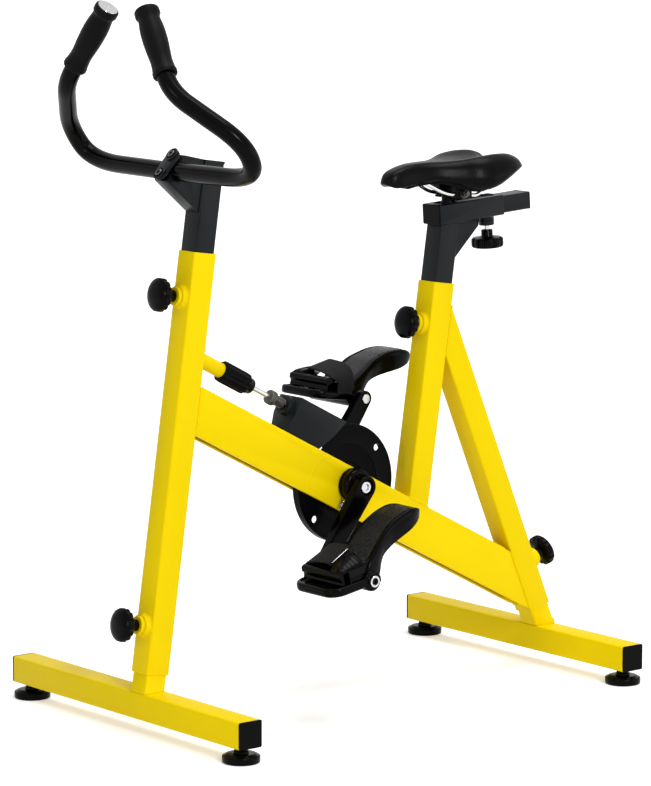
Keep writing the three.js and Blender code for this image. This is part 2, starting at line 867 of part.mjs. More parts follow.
// A round tube along a list of points, with one ring on each and its ends closed flat
function tubeAlong(points, radius, sides) {
  const places = [];
  const corners = [];
  const normal = new THREE.Vector3(1, 0, 0);
  points.forEach((point, i) => {
    const ahead = points[Math.min(i + 1, points.length - 1)];
    const behind = points[Math.max(i - 1, 0)];
    const tangent = ahead.clone().sub(behind).normalize();
    normal.addScaledVector(tangent, -normal.dot(tangent)).normalize();
    const side = new THREE.Vector3().crossVectors(tangent, normal);
    for (let k = 0; k < sides; k += 1) {
      const angle = 2 * Math.PI * k / sides;
      const spot = point.clone();
      spot.addScaledVector(normal, radius * Math.cos(angle));
      spot.addScaledVector(side, radius * Math.sin(angle));
      places.push(spot.x, spot.y, spot.z);
    }
  });
  const last = (points.length - 1) * sides;
  for (let ring = 0; ring < last; ring += sides) {
    for (let k = 0; k < sides; k += 1) {
      const next = (k + 1) % sides;
      corners.push(ring + k, ring + next, ring + sides + next);
      corners.push(ring + k, ring + sides + next, ring + sides + k);
    }
  }
  for (let k = 1; k < sides - 1; k += 1) {
    corners.push(0, k + 1, k);
    corners.push(last, last + k, last + k + 1);
  }
  const geometry = new THREE.BufferGeometry();
  geometry.setAttribute('position', new THREE.Float32BufferAttribute(places, 3));
  geometry.setIndex(corners);
  return geometry;
}

function spring(from) {
  const points = springLine(from);
  console.log(`adjuster_spring least gap to itself: ${leastSelfGap(points).toFixed(2)} mm`);
  return tubeAlong(points, springWire / 2, springSides);
}

function addBearings() {
  const ring = cut(
    bevelledDisc(bearingRadius, tubeHalf + seatGap, bearingOutside, bearingBevel),
    disc(axleRadius + runningGap, 0, bearingOutside + overrun),
  );
  const left = placed(ring, [0, 0, 0], turnToX);
  add(beamFrame, 'bearing_left', 'blackPlastic', left);
  add(beamFrame, 'bearing_right', 'blackPlastic', mirrored(left));
}

function addCranks() {
  const nose = crankOuterFace - boltPocketDepth - seatGap;
  const shoulder = crankInnerFace - seatGap;
  const axle = turned([
    [0, -nose],
    [axleNoseRadius, -nose],
    [axleNoseRadius, -shoulder],
    [axleRadius, -shoulder],
    [axleRadius, shoulder],
    [axleNoseRadius, shoulder],
    [axleNoseRadius, nose],
    [0, nose],
  ]);
  add(crankFrame, 'crank_axle', 'steel', placed(axle, [0, 0, 0], turnToX));
  const arm = crankArm();
  add(crankFrame, 'crank_left', 'blackPlastic', arm);
  add(crankFrame, 'crank_right', 'blackPlastic', mirrored(placed(arm, [0, 0, 0], [Math.PI, 0, 0])));
  const bolt = bevelledDisc(crankBoltRadius, nose + seatGap, nose + seatGap + crankBoltHeight,
    crankBevel, smallSteps);
  const leftBolt = placed(bolt, [0, 0, 0], turnToX);
  add(crankFrame, 'crank_bolt_left', 'steel', leftBolt);
  add(crankFrame, 'crank_bolt_right', 'steel', mirrored(leftBolt));
}

// The left arm, hanging down from the axle, with its bolt pocket and the hole of its pedal spindle
function crankArm() {
  const outline = new THREE.Shape();
  outline.absarc(0, 0, crankHalfWidth, 0, Math.PI, false);
  outline.absarc(0, -crankLength, crankEndHalfWidth, Math.PI, 2 * Math.PI, false);
  const flat = new THREE.ExtrudeGeometry(outline, {
    depth: crankThickness - 2 * crankBevel,
    bevelEnabled: true,
    bevelThickness: crankBevel,
    bevelSize: crankBevel,
    bevelOffset: -crankBevel,
    bevelSegments: 1,
    curveSegments: smallSteps,
    steps: 1,
  });
  const from = crankInnerFace + crankBevel;
  const stand = new THREE.Matrix4().set(0, 0, 1, from, 1, 0, 0, 0, 0, 1, 0, 0, 0, 0, 0, 1);
  const noseHole = disc(axleNoseRadius + seatGap, 0, crankOuterFace);
  const pocket = disc(boltPocketRadius, crankOuterFace - boltPocketDepth, crankOuterFace + overrun);
  const spindleHole = disc(spindleRadius + seatGap, 0, crankOuterFace + overrun, smallSteps);
  return cut(
    flat.applyMatrix4(stand),
    placed(noseHole, [0, 0, 0], turnToX),
    placed(pocket, [0, 0, 0], turnToX),
    placed(spindleHole, [0, 0, -crankLength], turnToX),
  );
}

function addDrum() {
  const back = drumFace - drumWidth;
  const webBack = drumFace - drumWeb;
  const bore = axleRadius + seatGap;
  const profile = [
    [bore, back],
    [drumHubRadius, back],
    [drumHubRadius, webBack],
    [drumRadius - drumRim, webBack],
    [drumRadius - drumRim, back],
    [drumRadius, back],
    [drumRadius, drumFace],
    [drumRidgeRadius + drumRidgeWidth, drumFace],
    [drumRidgeRadius + drumRidgeWidth / 2, drumFace + drumRidgeRise],
    [drumRidgeRadius, drumFace],
    [bore, drumFace],
    [bore, back],
  ];
  const holes = [];
  for (let i = 0; i < drumHoles; i += 1) {
    const angle = 2 * Math.PI * i / drumHoles + degrees(drumHoleTurn);
    const place = [drumHoleCircle * Math.cos(angle), drumHoleCircle * Math.sin(angle), 0];
    holes.push(placed(disc(drumHoleRadius, back, drumFace + overrun, smallSteps), place));
  }
  const drum = cut(turned(profile, 2 * roundSteps), ...holes);
  add(crankFrame, 'brake_drum', 'blackCoat', placed(drum, [0, 0, 0], turnToX));
}

// The heel arm's upper and lower edges, as shares of its reach and rise
const heelTopShares = [
  [-0.12, 0.08], [0.0, 0.2], [0.08, 0.36], [0.23, 0.57], [0.33, 0.72], [0.42, 0.81],
  [0.53, 0.9], [0.66, 0.965], [0.82, 1.0], [0.93, 0.99], [0.985, 0.95],
];
const heelUnderShares = [
  [1.0, 0.87], [0.985, 0.79], [0.93, 0.71], [0.78, 0.61], [0.61, 0.52], [0.43, 0.42],
  [0.31, 0.32], [0.25, 0.18], [0.2, 0.0], [0.12, -0.1], [-0.12, -0.06],
];
// The toe strap's upper edge, as shares of its length from the front and of its height
const strapTopShares = [[0.0, 0.55], [0.12, 0.66], [0.45, 0.95], [0.6, 1.0], [0.95, 0.98], [1.0, 0.9]];

function pedalBase() {
  const middle = pedalInside + pedalWidth / 2;
  const plate = roundedRectangle(pedalWidth, toeReach + pedalBossRadius + toeCorner, toeCorner);
  const toe = placed(extruded(plate, toeThickness, crankBevel),
    [middle, (pedalBossRadius + toeCorner - toeReach) / 2, -toeThickness / 2]);
  const rearCut = block([0, pedalBossRadius, -tubeSize], [2 * pedalOutside, 2 * tubeSize, tubeSize]);
  const edges = [...heelTopShares, ...heelUnderShares].map(([along, up]) => [along * heelReach, up * heelRise]);
  const arm = sidePlate(edges, middle - heelWidth / 2, middle + heelWidth / 2);
  const plan = extruded(roundedRectangle(heelWidth, 2 * heelReach, heelCorner), 2 * tubeSize + heelRise);
  const heel = common(arm, placed(plan, [middle, 0, -tubeSize]));
  const barrel = placed(disc(pedalBossRadius, pedalInside, pedalOutside), [0, 0, 0], turnToX);
  const bore = placed(disc(spindleRadius + 2 * runningGap, 0, pedalOutside + overrun, smallSteps),
    [0, 0, 0], turnToX);
  return cut(join(cut(toe, rearCut), heel, barrel), bore);
}

// Strip of rubber along the top of the heel arm
function heelPad() {
  const middle = pedalInside + pedalWidth / 2;
  const half = heelWidth / 2 - heelPadMargin;
  const top = heelTopShares.slice(2, -1).map(([along, up]) => [along * heelReach, up * heelRise]);
  const lower = top.map(([y, z]) => [y, z + seatGap]);
  const upper = top.map(([y, z]) => [y, z + seatGap + heelPadThickness]).reverse();
  return sidePlate([...lower, ...upper], middle - half, middle + half);
}

// What lies above the strap's outer slope, or above a slope that much deeper
function strapSlope(depth) {
  const to = pedalOutside - strapFootInset;
  const high = strapTop - depth;
  const low = high - strapSlopeDrop;
  const over = strapTop + overrun;
  const corners = [
    [to - strapSlopeWidth, over],
    [to - strapSlopeWidth, high],
    [to, low],
    [to + overrun, low],
    [to + overrun, over],
  ];
  const length = strapRear - strapFront + 2 * overrun;
  return placed(extruded(outlineOf(corners), length), [0, strapRear + overrun, 0], turnToFront);
}

// Arched strap over the toes, open to the rear for the foot
function toeStrap() {
  const seat = toeThickness / 2 + seatGap;
  const length = strapRear - strapFront;
  const height = strapTop - seat;
  const edge = strapTopShares.map(([along, up]) => [strapFront + along * length, seat + up * height]);
  const outline = [[strapFront, seat], ...edge, [strapRear, seat]];
  const from = pedalInside + strapFootInset;
  const to = pedalOutside - strapFootInset;
  const low = edge.map(([y, z]) => [y, z - strapWall]);
  const room = [
    [strapFront - overrun, seat - overrun],
    [strapFront - overrun, low[0][1]],
    ...low,
    [strapRear + overrun, low[low.length - 1][1]],
    [strapRear + overrun, seat - overrun],
  ];
  const barrelRoom = placed(disc(pedalBossRadius + seatGap, 0, pedalOutside + overrun), [0, 0, 0], turnToX);
  const inside = cut(sidePlate(room, from + strapWall, to - strapWall), strapSlope(strapWall));
  return cut(sidePlate(outline, from, to), strapSlope(0), inside, barrelRoom);
}

function pedalSpindle() {
  const head = pedalOutside + seatGap;
  return turned([
    [0, spindleInnerEnd],
    [spindleRadius, spindleInnerEnd],
    [spindleRadius, head],
    [spindleHeadRadius, head],
    [spindleHeadRadius, head + spindleHeadHeight],
    [0, head + spindleHeadHeight],
  ], smallSteps);
}

function addPedals() {
  const sides = [
    ['left', -crankLength, leftPedalTilt, (geometry) => geometry],
    ['right', crankLength, rightPedalTilt, mirrored],
  ];
  for (const [side, place, tilt, handed] of sides) {
    const frame = frameAt(crankFrame, [0, 0, place], crankAngle + tilt);
    add(crankFrame, `pedal_spindle_${side}`, 'steel', handed(placed(pedalSpindle(), [0, 0, place], turnToX)));
    add(frame, `pedal_base_${side}`, 'blackPlastic', handed(pedalBase()));
    add(frame, `pedal_heel_pad_${side}`, 'foam', handed(heelPad()));
    add(frame, `pedal_strap_${side}`, 'blackPlastic', handed(toeStrap()));
  }
}

function addHandlebarPost() {
  const post = tube(innerSize, innerSize, tubeWall, postTop - postLength, postTop - seatGap);
  add(mastFrame, 'handlebar_post', 'blackCoat', post);
}

// Box bracket between the post and the handlebar, seen from the post's top
function addStemBracket() {
  const alongClamp = (ahead, up) => {
    const spot = new THREE.Vector3(0, -ahead, up).applyEuler(clampFrame.rotation).add(clampFrame.position);
    return [spot.y, spot.z];
  };
  const face = -innerHalf - seatGap;
  const outline = [
    [face, -stemDrop],
    [face, 0],
    [innerHalf, 0],
    [innerHalf, stemTopPlate],
    [face, stemTopPlate],
    alongClamp(stemFront, stemHalfHeight),
    alongClamp(stemFront, -stemHalfHeight),
  ];
  const hollow = [
    [face, 2 * stemStrap - stemDrop],
    [face, -stemStrap],
    alongClamp(stemFront - stemWall, stemHalfHeight - stemStrap),
    alongClamp(stemFront - stemWall, stemStrap - stemHalfHeight),
  ];
  const inside = stemWidth / 2 - stemWall;
  const cradle = placed(disc(barRadius + slipGap, -tubeSize, tubeSize, 2 * roundSteps),
    [0, -barReach, -barDrop], turnToX);
  const boltHole = placed(disc(clampBoltRadius + runningGap, -tubeSize, 0, smallSteps), [0, 0, 0], turnToRear);
  const bolts = [-1, 1].map((side) => {
    const hole = placed(boltHole, [0, 0, side * clampBoltSpacing / 2]);
    return seenFrom(stemFrame, hole, clampFrame);
  });
  const bracket = cut(
    sidePlate(outline, -stemWidth / 2, stemWidth / 2),
    sidePlate(hollow, -inside, inside),
    cradle,
    ...bolts,
  );
  add(stemFrame, 'stem_bracket', 'blackCoat', bracket);
}

function addStemClamp() {
  const face = barRadius + seatGap;
  const outline = roundedRectangle(clampPlateWidth, clampPlateHeight, clampPlateCorner);
  const plate = extruded(outline, clampPlateThickness, clampPlateBevel);
  const boltHole = disc(clampBoltRadius + runningGap, -tubeSize, tubeSize, smallSteps);
  const holes = [-1, 1].map((side) => placed(boltHole, [0, side * clampBoltSpacing / 2, 0]));
  const stood = placed(cut(plate, ...holes), [0, -face, 0], turnToFront);
  add(clampFrame, 'stem_clamp_plate', 'blackCoat', stood);
  const head = face + clampPlateThickness + seatGap;
  const bolt = turned([
    [0, head - clampBoltReach],
    [clampBoltRadius, head - clampBoltReach],
    [clampBoltRadius, head],
    [clampBoltHead, head],
    [clampBoltHead, head + clampBoltHeadHeight],
    [0, head + clampBoltHeadHeight],
  ], smallSteps);
  for (const [name, side] of [['clamp_bolt_upper', 1], ['clamp_bolt_lower', -1]]) {
    add(clampFrame, name, 'blackPlastic', placed(bolt, [0, 0, side * clampBoltSpacing / 2], turnToFront));
  }
}

// Straight runs joined by bends that start and end at the given distances from each corner
function bentPath(points, bends) {
  const path = new THREE.CurvePath();
  let from = points[0];
  bends.forEach(([before, after], i) => {
    const corner = points[i + 1];
    const start = corner.clone().add(points[i].clone().sub(corner).setLength(before));
    const end = corner.clone().add(points[i + 2].clone().sub(corner).setLength(after));
    path.add(new THREE.LineCurve3(from, start));
    path.add(new THREE.QuadraticBezierCurve3(start, corner, end));
    from = end;
  });
  path.add(new THREE.LineCurve3(from, points[points.length - 1]));
  return path;
}

function roundTube(path, radius, sides, steps) {
  const circle = outlineOf(Array.from({ length: sides }, (unused, i) => {
    const angle = 2 * Math.PI * i / sides;
    return [radius * Math.cos(angle), radius * Math.sin(angle)];
  }));
  return new THREE.ExtrudeGeometry(circle, { steps, extrudePath: path, bevelEnabled: false });
}

const barTip = new THREE.Vector3(barTipX, -barTipForward, barTipRise);
const barKnee = new THREE.Vector3(barKneeX, -barKneeForward, barKneeRise);

function addHandlebar() {
  const tipRun = barTip.clone().sub(barKnee);
  const end = barKnee.clone().add(tipRun.clone().setLength(tipRun.length() - gripCap - seatGap));
  const leftHalf = [
    end,
    barKnee,
    new THREE.Vector3(barElbowX, -barElbowForward, barElbowRise),
    new THREE.Vector3(barShoulderX, -barShoulderForward, barShoulderRise),
  ];
  const rightHalf = leftHalf.map((spot) => new THREE.Vector3(-spot.x, spot.y, spot.z)).reverse();
  const bends = [[kneeExit, kneeBend], [elbowExit, elbowBend], [shoulderExit, shoulderBend]];
  const otherBends = bends.map(([before, after]) => [after, before]).reverse();
  const centre = new THREE.Vector3(0, 0, 0);
  const path = bentPath([...leftHalf, centre, ...rightHalf], [...bends, [barRadius, barRadius], ...otherBends]);
  add(barFrame, 'handlebar_tube', 'blackCoat', roundTube(path, barRadius, barSides, barSteps));
  const up = new THREE.Vector3(0, 0, 1);
  const align = new THREE.Quaternion().setFromUnitVectors(up, tipRun.clone().normalize());
  const stand = new THREE.Matrix4().compose(barTip, align, new THREE.Vector3(1, 1, 1));
  const left = grip().applyMatrix4(stand);
  add(barFrame, 'grip_left', 'foam', left);
  add(barFrame, 'grip_right', 'foam', mirrored(left));
}

// Grip radius along its length, from the lower collar to the end, as shares of the length
const gripShares = {
  collar: 0.07, waist: 0.16, palmStart: 0.3, palm: 0.5, palmEnd: 0.72, neck: 0.84, rim: 0.9,
};

function grip() {
  const at = (share) => -gripLength * (1 - share);
  const outside = turned([
    [0, -gripLength],
    [gripCollarRadius, -gripLength],
    [gripCollarRadius, at(gripShares.collar)],
    [gripWaistRadius, at(gripShares.waist)],
    [(gripWaistRadius + gripPalmRadius) / 2, at(gripShares.palmStart)],
    [gripPalmRadius, at(gripShares.palm)],
    [gripPalmRadius, at(gripShares.palmEnd)],
    [gripWaistRadius, at(gripShares.neck)],
    [gripRimRadius, at(gripShares.rim)],
    [gripRimRadius, -gripCap / 2],
    [gripRimRadius - gripCap / 2, 0],
    [0, 0],
  ]);
  return cut(outside, disc(barRadius + seatGap, -gripLength - overrun, -gripCap));
}

// Seat post with the gusset behind it, cut to the underside of the sleeve
function addSeatPost() {
  const post = tube(innerSize, innerSize, tubeWall, seatTubeTop - seatPostInside, seatPostTop + tubeSize);
  const gusset = sidePlate([
    [innerHalf - gussetSink, seatPostTop - gussetDrop],
    [innerHalf + gussetReach, seatPostTop - gussetDrop + gussetRise],
    [innerHalf + gussetReach, seatPostTop + tubeSize],
    [innerHalf - gussetSink, seatPostTop + tubeSize],
  ], -gussetWidth / 2, gussetWidth / 2);
  const sleeveCutter = seenFrom(seatFrame, farSide(2, -seatGap, 1), sleeveFrame);
  add(seatFrame, 'seat_post', 'blackCoat', cut(join(post, gusset), sleeveCutter));
}

function lyingTube(width, height, wall, from, to) {
  return placed(tube(width, height, wall, -to, -from), [0, 0, sleeveHeight / 2], turnToFront);
}

function sleeveBoss() {
  return disc(sleeveBossRadius, -tubeWall / 2, sleeveBossHeight);
}

function addSleeve() {
  const front = -sleeveAhead;
  const rear = sleeveLength - sleeveAhead;
  const shell = lyingTube(tubeSize, sleeveHeight, tubeWall, front, rear);
  const face = placed(extruded(roundedRectangle(tubeSize, sleeveHeight, tubeCorner), sleeveFrontWall),
    [0, front + sleeveFrontWall, sleeveHeight / 2], turnToFront);
  const slotShape = new THREE.Shape();
  slotShape.absarc(0, slotFront + slotHalfWidth, slotHalfWidth, Math.PI, 2 * Math.PI, false);
  slotShape.absarc(0, slotRear - slotHalfWidth, slotHalfWidth, 0, Math.PI, false);
  const slot = placed(extruded(slotShape, 2 * overrun), [0, 0, sleeveHeight - overrun]);
  const bossBelow = placed(sleeveBoss(), [0, sleeveKnobPlace, 0], turnDown);
  const boreLength = sleeveBossHeight + overrun;
  const bore = placed(disc(knobShankRadius + runningGap, -tubeWall - slipGap, boreLength, smallSteps),
    [0, sleeveKnobPlace, 0], turnDown);
  add(sleeveFrame, 'slider_sleeve', 'blackCoat', cut(join(shell, face, bossBelow), slot, bore));
  const collar = sleeveBossHeight + sleeveBoltShow;
  const turnedKnob = placed(knob(sleeveKnobReach, collar), [0, sleeveKnobPlace, 0], turnDown);
  add(sleeveFrame, 'knob_sleeve', 'blackPlastic', turnedKnob);
}

function addSaddleSlider() {
  const slider = lyingTube(innerSize, sliderHeight, tubeWall, sliderFront, sliderRear);
  const end = placed(extruded(roundedRectangle(innerSize, sliderHeight, tubeCorner), sliderEndWall),
    [0, sliderRear, sleeveHeight / 2], turnToFront);
  add(sleeveFrame, 'saddle_slider', 'blackCoat', join(slider, end));
  const sliderTop = (sleeveHeight + sliderHeight) / 2;
  const neck = placed(disc(saddleNeckRadius, sliderTop + seatGap, pivotRise, roundSteps), [0, neckPlace, 0]);
  const drum = placed(disc(clampDrumRadius, -clampDrumHalfWidth, clampDrumHalfWidth),
    [0, pivotPlace, pivotRise], turnToX);
  add(sleeveFrame, 'saddle_clamp_base', 'blackPlastic', join(neck, drum));
}

// Path of the rails below the saddle: the left side from the rear to the nose, and back along the right side
function railLine() {
  const bends = [railHeelBend, railBackBend, railFrontBend, railRiseBend].map((reach) => [reach, reach]);
  const noseBend = [railNoseX / 2, railNoseX / 2];
  const left = [
    [railHalfSpacing, railRearY, railRearZ],
    [railHalfSpacing, railHeelY, railHeelZ],
    [railHalfSpacing, railBackY, railBackZ],
    [railHalfSpacing, railFrontY, railFrontZ],
    [railRiseX, railRiseY, railRiseZ],
    [railNoseX, railNoseY, railNoseZ],
  ].map((spot) => new THREE.Vector3(...spot));
  const right = left.map((spot) => new THREE.Vector3(-spot.x, spot.y, spot.z)).reverse();
  return bentPath([...left, ...right], [...bends, noseBend, noseBend, ...bends.reverse()]);
}

function rails(radius) {
  return roundTube(railLine(), radius, railSides, railSteps);
}

function addSaddleRails() {
  add(saddleFrame, 'saddle_rails', 'steel', rails(railRadius));
}

// Yoke that grips both rails and straddles the clamp's drum
function addSaddleYoke() {
  const cheek = block([yokeInside, -yokeHalfLength, yokeBottom], [yokeOutside, yokeHalfLength, yokeTop]);
  const bridge = block([-yokeOutside, -yokeHalfLength, yokeTop - yokeBridge],
    [yokeOutside, yokeHalfLength, yokeTop]);
  const yoke = cut(join(bridge, cheek, mirrored(cheek)), rails(railRadius + seatGap));
  add(saddleFrame, 'saddle_yoke', 'blackPlastic', yoke);
}

// Saddle sections from nose to rear, as shares of its length, half width and height: distance from the nose,
// half width, lower edge, middle of the top, crest of the wings, and how far the underside is hollowed
const saddleShares = [
  [0.0, 0.06, 0.27, 0.3, 0.3, 0],
  [0.012, 0.15, 0.22, 0.43, 0.43, 0.3],
  [0.04, 0.23, 0.2, 0.52, 0.52, 1],
  [0.085, 0.275, 0.19, 0.585, 0.585, 1],
  [0.15, 0.3, 0.23, 0.65, 0.65, 1],
  [0.225, 0.325, 0.275, 0.7, 0.7, 1],
  [0.3, 0.37, 0.285, 0.72, 0.72, 1],
  [0.37, 0.445, 0.27, 0.73, 0.73, 1],
  [0.445, 0.58, 0.21, 0.725, 0.745, 1],
  [0.52, 0.75, 0.11, 0.71, 0.78, 1],
  [0.59, 0.9, 0.04, 0.685, 0.84, 1],
  [0.665, 0.98, 0.03, 0.66, 0.89, 1],
  [0.74, 1.0, 0.12, 0.65, 0.915, 1],
  [0.81, 0.985, 0.26, 0.65, 0.92, 1],
  [0.88, 0.93, 0.4, 0.65, 0.9, 1],
  [0.94, 0.835, 0.49, 0.64, 0.84, 0.8],
  [0.98, 0.71, 0.55, 0.63, 0.75, 0.3],
  [1.0, 0.58, 0.63, 0.66, 0.68, 0],
];
// One half of a section, from its lower edge to the middle: share of the half width, share of the height,
// and how much of the height comes from the wing's crest rather than the middle
const sectionShares = [
  [0.92, 0, 1], [1, 0.2, 1], [0.96, 0.5, 1], [0.86, 0.79, 1], [0.66, 0.97, 1], [0.36, 1, 0.45], [0, 1, 0],
];
const notchStartShare = 0.72;
const notchWidthShare = 0.6;
const hollowWidthShare = 0.84;
const hollowRoofShare = 0.5;

function notchShift(along, across) {
  const start = Math.max(0, (along - notchStartShare) / (1 - notchStartShare));
  const inside = Math.max(0, 1 - (across / notchWidthShare) ** 2);
  return saddleNotch * start * start * inside;
}

function saddleTop([along, wide, low, middle, crest]) {
  return sectionShares.map(([across, up, wing]) => {
    const x = across * wide * saddleHalfWidth;
    const top = middle + (crest - middle) * wing;
    const y = along * saddleLength - saddleNose - notchShift(along, across * wide);
    return [x, y, saddleFloor + (low + (top - low) * up) * saddleHeight];
  });
}

function saddleUnder([along, wide, low, middle, crest, hollow]) {
  return sectionShares.map(([across, up]) => {
    const share = across * (1 - (1 - hollowWidthShare) * hollow);
    const x = share * wide * saddleHalfWidth;
    const y = along * saddleLength - saddleNose - notchShift(along, share * wide);
    const upTo = hollow * hollowRoofShare * Math.min(1, 2 * up) + (1 - hollow) * up;
    const top = hollow > 0 ? middle : middle + (crest - middle) * sectionShares[0][2];
    return [x, y, saddleFloor + (low + (top - low) * upTo) * saddleHeight];
  });
}

function bothSides(half) {
  return [...half.map(([x, y, z]) => [-x, y, z]), ...half.slice(0, -1).reverse()];
}

// Skin through closed rings of points, whose first and last ring fold flat
function skinned(rings) {
  const places = rings.flat(2);
  const count = rings[0].length;
  const corners = [];
  for (let i = 0; i < rings.length - 1; i += 1) {
    for (let k = 0; k < count; k += 1) {
      const next = (k + 1) % count;
      const [a, b] = [i * count + k, i * count + next];
      corners.push(a, b, b + count);
      corners.push(a, b + count, a + count);
    }
  }
  const geometry = new THREE.BufferGeometry();
  geometry.setAttribute('position', new THREE.Float32BufferAttribute(places, 3));
  geometry.setIndex(corners);
  return geometry;
}

function addSaddlePad() {
  const rings = saddleShares.map((share) => {
    const over = bothSides(saddleTop(share));
    const under = bothSides(share[5] > 0 ? saddleUnder(share) : saddleTop(share)).reverse();
    return [...over, ...under];
  });
  add(saddleFrame, 'saddle_pad', 'vinyl', skinned(rings));
}

// Thin moulded shell inside the pad's hollow, with the sockets of the rails
function addSaddleShell() {
  const sections = saddleShares.filter((share) => share[5] === 1);
  const rings = sections.map((share) => {
    const half = saddleUnder(share);
    const upper = bothSides(half.map(([x, y, z]) => [Math.max(0, x - shellInset), y, z - shellGap]));
    const lower = upper.map(([x, y, z]) => [x, y, z - shellDepth]).reverse();
    return [...upper, ...lower];
  });
  const noseBlock = block([-noseSocketHalf, railNoseY - socketMargin, railNoseZ - socketMargin],
    [noseSocketHalf, railNoseY + socketMargin, railNoseZ + noseSocketRise]);
  const rearBlock = block([railHalfSpacing - socketMargin, railRearY - socketMargin, railRearZ - socketDepth],
    [railHalfSpacing + socketMargin, railRearY + socketMargin, railRearZ + rearSocketRise]);
  const sheet = capped(rings);
  const shell = cut(join(sheet, noseBlock, rearBlock, mirrored(rearBlock)), rails(railRadius + seatGap));
  add(saddleFrame, 'saddle_shell', 'blackPlastic', shell);
}

// Skin through rings that are a sheet's upper and lower lines, with both ends closed by strips
function capped(rings) {
  const geometry = skinned(rings);
  const corners = Array.from(geometry.index.array);
  const count = rings[0].length;
  const last = (rings.length - 1) * count;
  for (let k = 0; k < count / 2 - 1; k += 1) {
    const across = count - 1 - k;
    corners.push(k, across, k + 1, k + 1, across, across - 1);
    corners.push(last + k, last + k + 1, last + across, last + k + 1, last + across - 1, last + across);
  }
  geometry.setIndex(corners);
  return geometry;
}

base('front', frontBarY, frontBarShift, frontBarLength, mastFrame, mastLift);
base('rear', rearBarY, rearBarShift, rearBarLength, strutFrame, strutLift);
addMast();
addSeatTube();
addStrut();
addBeam();
addAdjusterTube();
addBrakeHousing();
addBearings();
addHandlebarPost();
addStemBracket();
addStemClamp();
addHandlebar();
addSeatPost();
addSleeve();
addSaddleSlider();
addSaddleRails();
addSaddleYoke();
addSaddleShell();
addSaddlePad();
addCranks();
addDrum();
addPedals();
addBrakeShoe();
addAdjuster();

// The origin is the middle of the footprint, on the floor
bike.updateMatrixWorld(true);
const bounds = new THREE.Box3().setFromObject(bike, true);
const centre = bounds.getCenter(new THREE.Vector3());
bike.position.set(-centre.x, -centre.y, -bounds.min.z);
bike.updateMatrixWorld(true);

export default bike;
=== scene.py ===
import json
import math

import bmesh
import bpy
from mathutils import Matrix, Vector


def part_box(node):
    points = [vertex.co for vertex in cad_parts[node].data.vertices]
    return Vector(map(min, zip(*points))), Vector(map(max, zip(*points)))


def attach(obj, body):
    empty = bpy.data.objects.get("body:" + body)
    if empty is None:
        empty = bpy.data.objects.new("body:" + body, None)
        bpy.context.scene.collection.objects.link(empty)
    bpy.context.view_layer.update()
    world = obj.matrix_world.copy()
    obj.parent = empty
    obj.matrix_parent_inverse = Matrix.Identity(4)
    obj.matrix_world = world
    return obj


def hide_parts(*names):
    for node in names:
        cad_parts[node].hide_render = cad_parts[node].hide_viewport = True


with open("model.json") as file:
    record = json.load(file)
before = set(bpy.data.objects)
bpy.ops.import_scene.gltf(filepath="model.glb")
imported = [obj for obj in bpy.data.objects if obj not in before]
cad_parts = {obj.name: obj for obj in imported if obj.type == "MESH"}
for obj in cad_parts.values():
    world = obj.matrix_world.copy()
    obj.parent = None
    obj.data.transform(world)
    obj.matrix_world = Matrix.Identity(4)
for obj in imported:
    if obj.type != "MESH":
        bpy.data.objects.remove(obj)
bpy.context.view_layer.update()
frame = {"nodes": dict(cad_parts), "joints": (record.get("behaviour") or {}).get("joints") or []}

# Shapes are written in millimetres in each member's own frame and turned into metres here
MM = 0.001
JOINTS = {joint["name"]: joint for joint in frame["joints"]}
NODES = frame["nodes"]


def node_centre(name):
    low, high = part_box(name)
    return (low + high) / 2


def at(point):
    """A level frame at a point given in metres."""
    return Matrix.Translation(Vector(point))


def frame_at(origin, up):
    """A member's frame: Z along its axis, X to the rider's left, placed at origin."""
    across = Vector((1, 0, 0))
    z = Vector(up).normalized()
    y = z.cross(across).normalized()
    return at(origin) @ Matrix((across, y, z)).transposed().to_4x4()


def spot(place, x=0.0, y=0.0, z=0.0):
    """Frame of a point given in millimetres in a member's frame."""
    return place @ at(Vector((x, y, z)) * MM)


def turned_about_x(place, degrees):
    return place @ Matrix.Rotation(math.radians(degrees), 4, "X")


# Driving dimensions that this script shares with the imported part, in millimetres and degrees
TUBE = 45.0
HALF = TUBE / 2
MAST_LIFT, MAST_LENGTH, POST_ABOVE = 29.4, 695.0, 148.0
STRUT_LIFT = 34.8
SEAT_TUBE_TOP = 362.7
SEAT_OFFSET_Y, SEAT_OFFSET_Z = 153.7, -32.0
BEAM_SLOPE, ADJUSTER_RISE = 27.65, 70.4
CRANK_ANGLE, CRANK_LENGTH = 35.5, 158.0
SLEEVE_TILT, SLEEVE_HEIGHT = 3.72, 35.0
PIVOT_PLACE, PIVOT_RISE = 25.9, 50.0
BAR_REACH, BAR_DROP, STEM_TILT = 67.2, 22.1, 33.1
PEDAL_TILT = {"left": 10.0, "right": -8.0}
# How far a piece stands off its neighbour, and a skin off what it covers
CLEARANCE, SKIN = 0.3, 0.25

middle_x = node_centre("mast_tube").x
crank_centre = node_centre("crank_axle")


def bar_top(name):
    """Middle of a base bar's top face, on the middle plane of the frame."""
    low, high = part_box(name)
    return Vector((middle_x, (low.y + high.y) / 2, high.z))


